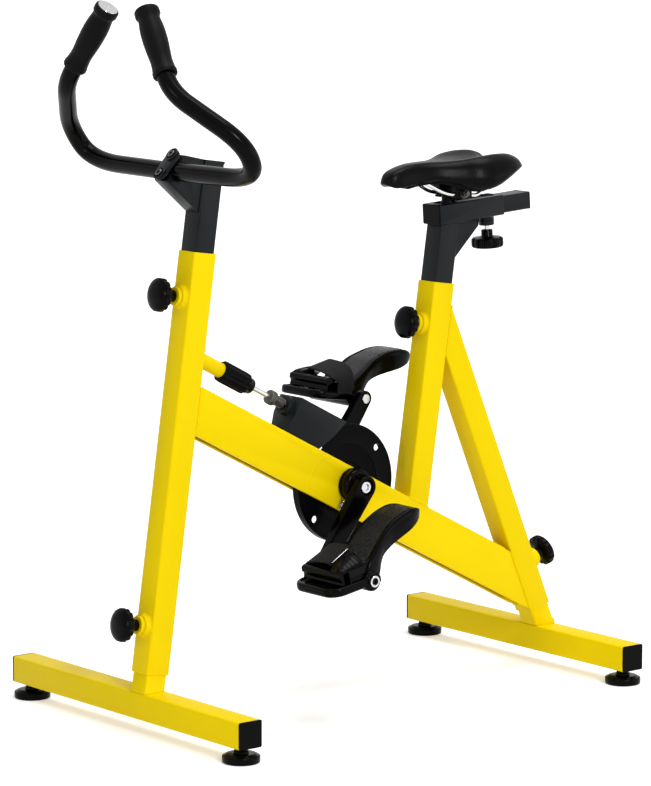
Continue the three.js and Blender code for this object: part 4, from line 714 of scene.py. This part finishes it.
weld("seat_tube_weld", [crossing(SEAT, (x, y, 0), (0, 0, 1), BEAM, 2, BEAM_TOP + CLEARANCE)
                        for x, y in [(HALF, HALF), (HALF, -HALF), (-HALF, -HALF), (-HALF, HALF), (HALF, HALF)]], BEAM)
for side, sign, _ in SIDES:
    for weld_name, member, face in [("mast_weld", MAST, HALF + CLEARANCE), ("strut_weld", STRUT, -HALF - CLEARANCE)]:
        ends = [crossing(BEAM, (sign * (HALF - 0.4), 0, height), (0, 1, 0), member, 1, face)
                for height in (BEAM_TOP, BEAM_BOTTOM)]
        weld(f"{weld_name}_{side}", ends, member)
    # Shallow bead pressed in an arc round the bearing on this face of the beam
    for name, start, end in [("front", 147, 218), ("rear", -24, 26)]:
        line = [(sign * (HALF - 0.35), y, z) for y, z in arc(RING_CENTRE, RING_RADIUS, start, end, 48)
                if BEAM_BOTTOM + 5 < z < BEAM_TOP - 3]
        add(f"beam_bead_{name}_{side}", sweep(line, 0.8, 8), BEAM, "frame", YELLOW, angle=80)
inside = HALF - 0.4
weld("strut_head_weld", [crossing(STRUT, (x, y, 0), (0, 0, 1), SEAT, 1, HALF + CLEARANCE)
                         for x, y in [(inside, -HALF), (inside, HALF), (-inside, HALF), (-inside, -HALF)]], SEAT)


# Handlebar clamp: plate with rounded ends, raised bolt seats and socket-head bolts

CLAMP_FACE = BAR_RADIUS + CLEARANCE
BOLT_SEAT = CLAMP_FACE + 4.2
CLAMP_FRONT = CLAMP @ TO_FRONT
HALF_SPACING = 19.25

plate_rings = []
for inset, height in raised([(0.8, 0), (0.1, 0.5), (0, 1.2), (0, 2.6), (0.4, 3.5), (1.4, 4)], CLAMP_FACE):
    plate_rings.append(
        level(arc((0, 13.5), 16.5 - inset, 0, 180, 20) + arc((0, -13.5), 16.5 - inset, 180, 360, 20), height))
add("stem_clamp_plate", loft(plate_rings), CLAMP_FRONT, "handlebar_post", BLACK_COAT, angle=32,
    cutters=[moved(disc(4.2, 0, 60, 0, 40), 0, y) for y in (-HALF_SPACING, HALF_SPACING)])
seat_profile = raised(
    [(5.0, 0), (11.4, 0), (12, 0.5), (12, 2.2), (11.2, 3), (9.6, 3), (9.0, 2.4), (8.6, 0.8), (5.0, 0.8), (5.0, 0)],
    BOLT_SEAT)
bolt_profile = raised([(0, -20), (3.8, -20), (3.8, 0), (6.2, 0), (6.5, 0.4), (6.5, 3.3), (5.6, 4.2), (3.9, 4.2),
                       (3.2, 3.7), (3.2, 1.4), (0, 1.4)], BOLT_SEAT + 0.9)
for bolt_name, y in [("clamp_bolt_upper", HALF_SPACING), ("clamp_bolt_lower", -HALF_SPACING)]:
    place = spot(CLAMP_FRONT, 0, y)
    add(f"{bolt_name}_seat", lathe(seat_profile, 64), place, "handlebar_post", BLACK_COAT, angle=35)
    add(bolt_name, lathe(bolt_profile, 48), place, "handlebar_post", DULL_STEEL, angle=32)


# Caps of the slider sleeve, of the slider, and of the post's walls beside the stem

def cap_shape(width, height, thickness, corner=3.2, edge=0.9):
    def ring(inset, z):
        x, y = abs(width / 2 - inset), abs(height / 2 - inset)
        return level(closed_rounded([(-x, -y), (x, -y), (x, y), (-x, y)], corner, 6), z)
    return loft([ring(0, 0), ring(0, thickness - edge), ring(edge * 0.3, thickness - edge * 0.3),
                 ring(edge, thickness), ring(edge + 1.5, thickness)])


add("sleeve_front_cap", cap_shape(45, SLEEVE_HEIGHT, 2.2), spot(SLEEVE, 0, -24.3, SLEEVE_HEIGHT / 2) @ TO_FRONT,
    "seat_post", SATIN_BLACK, angle=35)
add("slider_end_cap", cap_shape(40.6, 30.4, 2.4), spot(SLEEVE, 0, 180.7, SLEEVE_HEIGHT / 2) @ TO_REAR,
    "saddle_slider", SATIN_BLACK, angle=35)
for side, sign, _ in SIDES:
    add(f"post_cap_{side}", cap_shape(3.2, 40.4, 4.6, 0.9, 0.35), spot(STEM, sign * 18.65, 0, -1.6), "handlebar_post",
        BLACK_COAT, angle=35)


# Saddle: padded cover over a moulded shell, on two bent rails held by a yoke

SADDLE_NOSE, SADDLE_LENGTH, SADDLE_HALF, SADDLE_RISE, SADDLE_FLOOR, SADDLE_NOTCH = 158.0, 273.0, 79.0, 66.0, 6.0, 30.0
NOTCH_FROM, NOTCH_HALF = 0.72, 0.6
SHELL_FROM, SHELL_TO, SHELL_TOP, SHELL_BOTTOM, SHELL_INSET = 0.16, 0.88, 1.4, 4.6, 2.0
COVER_MESH, COVER_PRESSURE, COVER_PUFF, PUFF_FRAMES = 4.0, 4.0, 2.0, 20
RAIL_RADIUS, RAIL_HALF = 3.5, 22

# Sections from nose to rear as shares of length, half width and height: distance from the nose, half width,
# lower edge, middle of the top, crest of the wings, and how far the underside is hollowed
SADDLE_SHARES = [
    (0.0, 0.06, 0.27, 0.31, 0.31, 0), (0.012, 0.15, 0.2, 0.45, 0.45, 0.3), (0.04, 0.23, 0.155, 0.55, 0.55, 1),
    (0.085, 0.275, 0.13, 0.62, 0.62, 1), (0.15, 0.3, 0.155, 0.675, 0.675, 1), (0.225, 0.325, 0.215, 0.71, 0.71, 1),
    (0.3, 0.37, 0.25, 0.725, 0.725, 1), (0.37, 0.445, 0.27, 0.73, 0.73, 1), (0.445, 0.58, 0.21, 0.725, 0.745, 1),
    (0.52, 0.75, 0.11, 0.71, 0.78, 1), (0.59, 0.9, 0.04, 0.685, 0.84, 1), (0.665, 0.98, 0.03, 0.66, 0.89, 1),
    (0.74, 1.0, 0.12, 0.65, 0.915, 1), (0.81, 0.985, 0.26, 0.65, 0.92, 1), (0.88, 0.93, 0.4, 0.65, 0.9, 1),
    (0.94, 0.835, 0.49, 0.64, 0.84, 0.8), (0.98, 0.71, 0.55, 0.63, 0.75, 0.3), (1.0, 0.58, 0.63, 0.66, 0.68, 0)]
# Half a section from its lower edge to the middle: share of half width, of height, and of the wing's crest
SECTION_SHARES = [
    (0.92, 0, 1), (1, 0.2, 1), (0.96, 0.5, 1), (0.86, 0.79, 1), (0.66, 0.97, 1), (0.36, 1, 0.45), (0, 1, 0)]
fine_sections, fine_shares = ([*zip(*[spline(list(column), 4) for column in zip(*rows)])]
                              for rows in (SADDLE_SHARES, SECTION_SHARES))


def saddle_point(along, across, up, inset=0.0):
    """Point at shares of length, half width and height, with the notch at the rear of the saddle."""
    start = max(0.0, (along - NOTCH_FROM) / (1 - NOTCH_FROM))
    notch = SADDLE_NOTCH * start * start * max(0.0, 1 - (across / NOTCH_HALF) ** 2)
    return (max(0.0, across * SADDLE_HALF - inset), along * SADDLE_LENGTH - SADDLE_NOSE - notch,
            SADDLE_FLOOR + up * SADDLE_RISE)


def saddle_top(section):
    along, wide, low, middle, crest, _ = section
    return [saddle_point(along, across * wide, low + (middle + (crest - middle) * wing - low) * up)
            for across, up, wing in fine_shares]


def saddle_under(section, drop=0.0, inset=0.0):
    along, wide, low, middle, _, hollow = section
    hollow = limited(hollow)
    opening = limited((along - 0.07) / 0.12)
    depth = 0.12 + 0.88 * opening * opening * (3 - 2 * opening)
    points = []
    for across, up, _ in fine_shares:
        up_to = (hollow * 0.5 * min(1.0, 2 * up) + (1 - hollow) * up) * depth
        x, y, z = saddle_point(along, across * (1 - 0.28 * hollow) * wide, low + (middle - low) * up_to, inset)
        points.append((x, y, z - drop))
    return points


def saddle_ring(over, under):
    """A closed section from the halves of its upper and its lower line."""
    upper, lower = ([(-x, y, z) for x, y, z in half] + half[-2::-1] for half in (over, under))
    return upper + lower[::-1]


def puff(thing, pressure, most):
    """Lets air pressure fill the cover for a moment, moving its upper side by no more than the given amount."""
    before = [vertex.co.copy() for vertex in thing.data.vertices]
    normals = [vertex.normal.copy() for vertex in thing.data.vertices]
    cloth = thing.modifiers.new("cover", "CLOTH")
    cloth.settings.use_pressure = True
    cloth.settings.uniform_pressure_force = pressure
    cloth.settings.effector_weights.gravity = 0
    cloth.settings.quality = 6
    cloth.settings.tension_stiffness = cloth.settings.compression_stiffness = 30
    cloth.settings.bending_stiffness = 2
    cloth.point_cache.frame_start = 1
    cloth.point_cache.frame_end = PUFF_FRAMES
    scene = bpy.context.scene
    for step in range(1, PUFF_FRAMES + 1):
        scene.frame_set(step)
    shaped = thing.evaluated_get(bpy.context.evaluated_depsgraph_get()).data
    after = [vertex.co.copy() for vertex in shaped.vertices]
    thing.modifiers.clear()
    scene.frame_set(1)
    for vertex, old, new, normal in zip(thing.data.vertices, before, after, normals):
        move = new - old
        if move.length > most * MM:
            move *= most * MM / move.length
        vertex.co = old + move * limited((normal.z + 0.25) / 0.5)


pad_rings = [saddle_ring(saddle_top(section), saddle_under(section)) for section in fine_sections]
pad = make_object("saddle_cover", *loft(pad_rings), SADDLE)
modify(pad, "even_mesh", "REMESH", mode="VOXEL", voxel_size=COVER_MESH * MM, use_smooth_shade=True)
modify(pad, "even_surface", "SMOOTH", factor=0.5, iterations=4)
baked(pad)
puff(pad, COVER_PRESSURE, COVER_PUFF)
for polygon in pad.data.polygons:
    polygon.use_smooth = True
modify(pad, "finer", "SUBSURF", levels=1, render_levels=1)
finish_piece(pad, "saddle", VINYL, ["saddle_pad"])

shell_rings = [saddle_ring(saddle_under(section, SHELL_TOP, SHELL_INSET),
                           saddle_under(section, SHELL_BOTTOM, SHELL_INSET))
               for section in fine_sections if SHELL_FROM <= section[0] <= SHELL_TO]
add("saddle_shell_moulding", loft(shell_rings), SADDLE, "saddle", SATIN_BLACK, ["saddle_shell"], angle=50)


def block_shape(low, high):
    (x0, y0, z0), (x1, y1, z1) = low, high
    return prism([(x0, y0), (x1, y0), (x1, y1), (x0, y1)], z0, z1)


for side, sign, _ in SIDES:
    x = sign * RAIL_HALF
    add(f"rail_socket_{side}", block_shape((x - 6.5, 56, 17), (x + 6.5, 69, 33)), SADDLE, "saddle", SATIN_BLACK,
        edge=1.6, segments=3, cutters=[moved(disc(3.9, 0, 27, 0, 24), x, 62, 6)])
add("rail_socket_nose", block_shape((-12.5, -114, 23), (12.5, -102, 33)), SADDLE, "saddle", SATIN_BLACK, edge=1.6,
    segments=3, cutters=[block_shape((-10, -112, 24.7), (10, -98, 33.3))])

rail_left = vectors([(RAIL_HALF, 62, 30), (RAIL_HALF, 46, 1), (RAIL_HALF, 33, -6), (RAIL_HALF, -36, 0),
                     (12, -84, 25), (9, -110, 29)])
rail_bends = [(8, 8), (7, 7), (18, 18), (12, 12), (4.5, 4.5)]
rail_line = bent_line([*rail_left, *mirrored_x(rail_left)], [*rail_bends, *reversed(rail_bends)])
add("saddle_rails", sweep(rail_line, RAIL_RADIUS, 20), SADDLE, "saddle", CHROME, angle=60)

teeth = ribbed([(0, -15, 0), (11.4, -15, 0), (12.3, -14.4, 1), (12.5, -13.6, 1), (12.5, 13.6, 1), (12.3, 14.4, 1),
                (11.4, 15, 0), (0, 15, 0)], 30, 0.9, 180)
add("clamp_drum", teeth, SADDLE @ TO_LEFT, "saddle_slider", SATIN_BLACK, ["saddle_clamp_base"], angle=60)
neck_profile = [(0, -17.3), (13.6, -17.3), (13.6, -14.6), (12.6, -13.2), (12, -11), (12, -4), (11, 0), (0, 0)]
add("clamp_neck", lathe(neck_profile, 64), spot(SLEEVE, 0, 14, 50), "saddle_slider", SATIN_BLACK)
for side, _, turn in SIDES:
    add(f"yoke_nut_{side}", prism(hexagon(7.4), 29.6, 35.4), SADDLE @ turn, "saddle", DULL_STEEL, edge=0.6)
    add(f"yoke_washer_{side}", disc(9, 28.2, 29.5, 0.3, 48), SADDLE @ turn, "saddle", DULL_STEEL)
    add(f"yoke_stud_{side}", disc(4, 35.4, 38.6, 0.6, 32), SADDLE @ turn, "saddle", DULL_STEEL)


# Pedals: toe plate, toe cage, strap, heel arm with its rubber, and the spindle. X runs outward from the crank

PEDAL_INSIDE, PEDAL_WIDTH = 79.0, 114.0
PEDAL_MIDDLE = PEDAL_INSIDE + PEDAL_WIDTH / 2
TOE_REACH, HEEL_REACH, HEEL_RISE, HEEL_HALF = 85.0, 150.0, 86.0, 35.0
CAGE_INNER, CAGE_OUTER = PEDAL_INSIDE + 6.5, PEDAL_INSIDE + PEDAL_WIDTH - 6.5
SLOPE_FROM = CAGE_OUTER - 42
SWELL = 3.4
# The last of these is the rise of the bright steel rod along the strap's front edge, which is a painted highlight
STRAP_THICK, STRAP_FALL, STRAP_HIGHLIGHT_RISE = 3.0, 0.38, 57.6


def toe_plate_shape():
    """Rounded plate with a raised rim round a shallow floor."""
    rings = []
    for z, inset in [(-7.5, 5), (-7.2, 2.6), (-6, 0.9), (-3.6, 0), (3, 0), (5.6, 0.8), (7, 2.4), (7.5, 4.6),
                     (7.3, 6.4), (6.2, 7.6), (4.9, 8.2), (4.6, 10), (4.6, 20)]:
        low_x, high_x = PEDAL_INSIDE + inset, PEDAL_INSIDE + PEDAL_WIDTH - inset
        low_y, high_y = -TOE_REACH + inset, 17 - inset
        radius = 26 - inset * 0.7
        rings.append(level(arc((high_x - radius, low_y + radius), radius, 270, 360, 12)
                           + [(high_x, high_y), (low_x, high_y)]
                           + arc((low_x + radius, low_y + radius), radius, 180, 270, 12), z))
    return loft(rings)


# Upper and under line of the heel arm from the spindle, as shares of its reach and rise
HEEL_TOP = [
    (-0.12, 0.08), (0.0, 0.2), (0.08, 0.36), (0.23, 0.57), (0.33, 0.72), (0.42, 0.81), (0.53, 0.9), (0.66, 0.965),
    (0.82, 1.0), (0.92, 0.985), (0.965, 0.945), (0.99, 0.9)]
HEEL_UNDER = [
    (-0.12, -0.06), (0.0, -0.14), (0.12, -0.1), (0.2, 0.0), (0.25, 0.18), (0.31, 0.32), (0.43, 0.42), (0.61, 0.52),
    (0.78, 0.61), (0.93, 0.71), (0.99, 0.8)]
heel_top_line, heel_under_line = (spline([Vector((y * HEEL_REACH, z * HEEL_RISE)) for y, z in line], 6)
                                  for line in (HEEL_TOP, HEEL_UNDER))
HEEL_STATIONS = 34


def along_line(points, share):
    """Point at a share of an open line's length."""
    lengths = [0.0]
    for a, b in zip(points, points[1:]):
        lengths.append(lengths[-1] + math.dist(a, b))
    goal = share * lengths[-1]
    i = 0
    while goal > lengths[i + 1] and i < len(points) - 2:
        i += 1
    t = (goal - lengths[i]) / max(1e-9, lengths[i + 1] - lengths[i])
    return tuple(a + (b - a) * t for a, b in zip(points[i], points[i + 1]))


def heel_section(share):
    """Top, under side and half width. The arm is wide over the spindle, even in the middle and round at its end."""
    grow = 1 + 0.4 * max(0.0, 1 - share / 0.58) ** 0.95
    end = max(0.0, (share - 0.74) / 0.26)
    half = HEEL_HALF * grow * (1 - 0.66 * (1 - math.sqrt(max(0.0, 1 - end * end))))
    return (*along_line(heel_top_line, share), *along_line(heel_under_line, share), half)


def heel_arm_shape():
    """Arm with a rounded rim along both sides of its top and a hollow that the rubber sits in."""
    half_top = [(1, 0.0), (1, 0.34), (1, 0.68), (0.985, 0.86), (0.94, 0.97), (0.88, 1.0), (0.8, 0.985), (0.74, 0.93),
                (0.4, 0.915)]
    half_under = [(0.9, -0.03), (0.8, 0.03)]
    across = [*[(-x, up) for x, up in half_top], (0, 0.91), *reversed(half_top), *half_under, (0, 0.05),
              *[(-x, up) for x, up in reversed(half_under)]]
    rings = []
    for i in range(HEEL_STATIONS + 1):
        share = 1 - (1 - i / HEEL_STATIONS) ** 1.4
        ty, tz, uy, uz, half = heel_section(share)
        last = max(0.0, (share - 0.8) / 0.2)
        thin = 0.82 * (1 - math.sqrt(max(0.0, 1 - last * last)))
        fill = limited((share - 0.84) / 0.1)
        ring = []
        for x, up in across:
            skirt = 1 - 0.1 * max(0.0, 1 - up * 1.6)
            y = uy + (ty - uy) * up
            filled = up + (0.985 - up) * fill if 0.9 < up < 0.985 else up
            filled += (0.42 - filled) * thin
            y += (uy + (ty - uy) * 0.42 - y) * thin
            ring.append((PEDAL_MIDDLE + x * half * skirt, y, uz + (tz - uz) * filled))
        rings.append(ring)
    return loft(rings)


def heel_rubber_shape():
    rings = []
    for i in range(3, HEEL_STATIONS - 4):
        ty, tz, uy, uz, half = heel_section(i / HEEL_STATIONS)
        rings.append([(PEDAL_MIDDLE + x * half * 0.735, uy + (ty - uy) * up, uz + (tz - uz) * up)
                      for x, up in [(-1, 0.935), (-1, 0.975), (-0.93, 0.995), (-0.5, 1.0), (0, 1.0), (0.5, 1.0),
                                    (0.93, 0.995), (1, 0.975), (1, 0.935)]])
    return loft(rings)


def front_lip_shape():
    """Low front wall whose lip stands out over an undercut."""
    outline = closed_rounded(
        [(-60.5, 7.7), (-58.5, 12), (-59, 17), (-62, 19), (-62, 27), (-56, 30), (-44, 29.5), (-42, 24), (-42, 7.7)],
        2.4)
    return side_plate(outline, CAGE_INNER, CAGE_OUTER)


def ridge_bar_shape():
    """Rounded bar that rises from the outer front corner to the crown of the cage."""
    line = spline(vectors([(CAGE_OUTER - 4, -56, 20), (CAGE_OUTER - 5, -55, 29), (CAGE_OUTER - 14, -46, 35),
                           (CAGE_OUTER - 26, -34, 40), (CAGE_OUTER - 34, -22, 43)]), 8)
    return sweep(line, 3.4, 16)


def swelling(low, high, steps, y, ease=0.0):
    """Points from low to high, both (x, z), on a line that bulges outwards."""
    (x0, z0), (x1, z1) = low, high
    length = math.hypot(x1 - x0, z1 - z0)
    out_x, out_z = abs(z1 - z0) / length, abs(x1 - x0) / length
    points = []
    for k in range(steps + 1):
        t = k / steps
        bulge = 4 * SWELL * t * (1 - t)
        points.append((x0 + (x1 - x0) * t + out_x * bulge, y, z0 + (z1 - z0) * t + out_z * bulge - ease))
    return points


def outer_slope_shape():
    """Glossy sloping side of the cage with ribs that catch the strap."""
    def edge(y):
        share = limited((y + 62) / 54)
        low, high = 29 + 1.5 * share, 30 + 23.5 * share ** 0.8
        return low, high, SLOPE_FROM + (56 - high) * 0.9
    rings = []
    for y in (-57, -56, -54, -46, -38, -30, -22, -14, -8.5, -7.4, -6.8):
        low, high, top_x = edge(y)
        ease = 1.6 if y in (-57, -6.8) else 0.5 if y in (-56, -7.4) else 0.0
        rings.append([(CAGE_OUTER - 5.2, y, 8), (CAGE_OUTER - ease, y, 8), (CAGE_OUTER - ease, y, low - 2 - ease),
                      *swelling((CAGE_OUTER - 1.2 - ease, low), (top_x + 2, high - 1), 6, y, ease),
                      (top_x - 1, y, high - ease), (top_x - 6, y, high - ease), (top_x - 6, y, high - 5),
                      (top_x + 1, y, high - 6), (CAGE_OUTER - 5.2, y, low - 6)])
    shapes = [loft(rings)]
    for y in (-47, -39, -31, -23, -15):
        low, high, top_x = edge(y)
        path = swelling((CAGE_OUTER - 2.6, low - 0.4), (top_x + 5, high - 2.6), 8, y)
        shapes.append(sweep(path, [0.5, *[1.3] * 7, 0.5], 10))
    return together(*shapes)


def inner_wall_shape():
    outline = closed_rounded([(-58, 7.7), (-57, 17), (-46, 22), (-22, 22), (-13, 18), (-13, 7.7)], 4, 5)
    return side_plate(outline, CAGE_INNER, CAGE_INNER + 6)


def strap_shape():
    """Wide webbing over the instep, down the inner side of the cage. Its top falls towards the front."""
    line = spline(vectors([(CAGE_INNER - 4.2, 4), (CAGE_INNER - 4, 18), (CAGE_INNER - 2.5, 32), (CAGE_INNER + 3, 42),
                           (CAGE_INNER + 14, 49.5), (CAGE_INNER + 30, 53.5), (PEDAL_MIDDLE, 55),
                           (SLOPE_FROM + 1, 55.4), (SLOPE_FROM + 7, 54.9)]), 8)
    rings = []
    for k, ((x, z), before, after) in enumerate(zip(line, line[:1] + line, line[1:] + line[-1:])):
        dx, dz = after[0] - before[0], after[1] - before[1]
        length = math.hypot(dx, dz)
        inner_x, inner_z = x - dz / length * STRAP_THICK, z + dx / length * STRAP_THICK
        front = -40 - 12 * limited((z - 24) / 16)
        rear = -8 + 2 * math.sin(k / len(line) * 3)
        drop = STRAP_FALL * (rear - front) * limited((z - 20) / 30)
        rings.append([(x, front, z - drop), (x, rear, z), (inner_x, rear, inner_z), (inner_x, front, inner_z - drop)])
    return loft(rings)


# A thin bright steel rod along the strap's front edge: a painted highlight standing in for the glint on the strap's
# edge, not a part of the pedal
strap_highlight = [(SLOPE_FROM + 7, y, STRAP_HIGHLIGHT_RISE + STRAP_FALL * y) for y in (-47, -40, -33, -26, -19, -12)]
barrel = [
    (8.9, 79), (15.8, 79), (17.2, 79.8), (17.5, 81.2), (17.5, 190), (17, 191.8), (15.8, 192.8), (8.9, 193), (8.9, 79)]
spindle = [
    (0, 47.5), (7.2, 47.5), (8, 48.3), (8, 193.4), (9.2, 193.4), (9.5, 193.8), (9.5, 198.6), (8.8, 199.4),
    (6.8, 199.4), (6.2, 198.8), (6.0, 196), (0, 196)]
socket = [(0, 196.2), (5.6, 196.2), (5.6, 198.4), (4.8, 199), (3.2, 199), (2.9, 198.4), (2.9, 197), (0, 197)]
spindle_bore = moved(disc(8.8, 0, 300, 0, 40), turn=TO_LEFT)
for side, sign, _ in SIDES:
    centre = Vector(JOINTS[f"pedal_{side}_spin"]["pos_m"])
    centre.x = crank_centre.x
    place = turned_about_x(at(centre), PEDAL_TILT[side]) @ Matrix.Diagonal((sign, 1, 1, 1))
    body = f"pedal_{side}"
    add(f"toe_plate_{side}", toe_plate_shape(), place, body, GLOSS_BLACK, [f"pedal_base_{side}"],
        cutters=[spindle_bore])
    add(f"heel_arm_{side}", heel_arm_shape(), place, body, GLOSS_BLACK, angle=50, cutters=[spindle_bore])
    add(f"heel_rubber_{side}", heel_rubber_shape(), place, body, TREAD, [f"pedal_heel_pad_{side}"], angle=50)
    add(f"pedal_barrel_{side}", lathe(barrel, 72), place @ TO_LEFT, body, GLOSS_BLACK)
    for name, shape in [("cage_front", front_lip_shape()), ("cage_ridge", ridge_bar_shape()),
                        ("cage_outer", outer_slope_shape()), ("cage_inner", inner_wall_shape())]:
        add(f"{name}_{side}", shape, place, body, GLOSS_BLACK, angle=42)
    add(f"toe_strap_{side}", strap_shape(), place, body, WEBBING, [f"pedal_strap_{side}"], edge=0.5, angle=50)
    # Painted highlight: the bright steel rod along the strap's front edge
    add(f"strap_edge_{side}", sweep(strap_highlight, 0.8, 12), place, body, CHROME)
    add(f"pedal_spindle_{side}", lathe(spindle, 56), place @ TO_LEFT, "crank", CHROME, angle=35)
    add(f"pedal_bolt_{side}", lathe(socket, 36), place @ TO_LEFT, "crank", SATIN_BLACK, angle=35)


# Floor, light and camera

def placed(name, data):
    made = bpy.data.objects.new(name, data)
    bpy.context.scene.collection.objects.link(made)
    return made


def seen_directly(tree):
    """A value of 1 for camera, mirror and glass rays and 0 for the rays that light the object."""
    rays = new_node(tree, "LightPath").outputs
    seen = rays["Is Camera Ray"]
    for kind in ("Is Glossy Ray", "Is Transmission Ray"):
        either = new_node(tree, "Math")
        either.operation = "MAXIMUM"
        tree.links.new(seen, either.inputs[0])
        tree.links.new(rays[kind], either.inputs[1])
        seen = either.outputs["Value"]
    return seen


def make_floor(lift):
    """White floor that keeps a faint shadow; lift is the white it adds where it is seen."""
    size = 40.0
    mesh = bpy.data.meshes.new("floor")
    mesh.from_pydata([(-size, -size, 0), (size, -size, 0), (size, size, 0), (-size, size, 0)], [], [(0, 1, 2, 3)])
    floor = placed("floor", mesh)
    white = material("white_sweep", (0.93, 0.93, 0.93), 0.6, spread=0.004, rough_spread=0.03, specular=0.02)
    tree = white.node_tree
    shader = tree.nodes["Principled BSDF"]
    shader.inputs["Emission Color"].default_value = (1, 1, 1, 1)
    glow = new_node(tree, "MapRange", To_Max=lift)
    tree.links.new(seen_directly(tree), glow.inputs["Value"])
    tree.links.new(glow.outputs["Result"], shader.inputs["Emission Strength"])
    mesh.materials.append(white)


def make_world(strength):
    """White where it is seen, dimmer as a source of light."""
    world = bpy.data.worlds.new("studio")
    bpy.context.scene.world = world
    world.use_nodes = True
    tree = world.node_tree
    back = tree.nodes["Background"]
    back.inputs["Color"].default_value = (1, 1, 1, 1)
    glow = new_node(tree, "MapRange", To_Min=strength, To_Max=1.0)
    tree.links.new(seen_directly(tree), glow.inputs["Value"])
    tree.links.new(glow.outputs["Result"], back.inputs["Strength"])


def make_sun(name, towards, strength, spread):
    """A broad lamp far away in the direction towards, spread degrees wide."""
    light = bpy.data.lights.new(name, "SUN")
    light.energy = strength
    light.angle = math.radians(spread)
    lamp = placed(name, light)
    lamp.rotation_euler = Vector(towards).to_track_quat("Z", "Y").to_euler()


def make_camera():
    """The camera found from the photo: its direction, its distance and its shift from a point by the bike."""
    azimuth, elevation = math.radians(51.12), math.radians(8.58)
    distance, beside, above = 6.49033, -0.01556, 0.52793
    focal_pixels, picture_height, film = 3848.99, 786, 36.0
    middle = Vector((0.0421, -0.0174585, 0))
    back = Vector(
        (math.sin(azimuth) * math.cos(elevation), -math.cos(azimuth) * math.cos(elevation), math.sin(elevation)))
    right = Vector((math.cos(azimuth), math.sin(azimuth), 0))
    lens = bpy.data.cameras.new("camera")
    lens.sensor_width = film
    lens.sensor_fit = "AUTO"
    lens.lens = focal_pixels / picture_height * film
    lens.clip_end = 100
    camera = placed("camera", lens)
    camera.location = middle + right * beside + Vector((0, 0, above)) + back * distance
    camera.rotation_euler = back.to_track_quat("Z", "Y").to_euler()
    bpy.context.scene.camera = camera


make_floor(0.45)
make_world(0.22)
make_sun("key_light", (0.9, -0.2, 0.5), 1.2, 9)
make_sun("top_light", (0.12, 0.15, 1.0), 1.75, 34)
make_sun("side_light", (0.8, 0.6, 0.1), 0.35, 30)
make_sun("front_light", (0.2, -1.0, 0.3), 0.36, 14)
make_camera()
bpy.context.scene.view_settings.view_transform = "Standard"
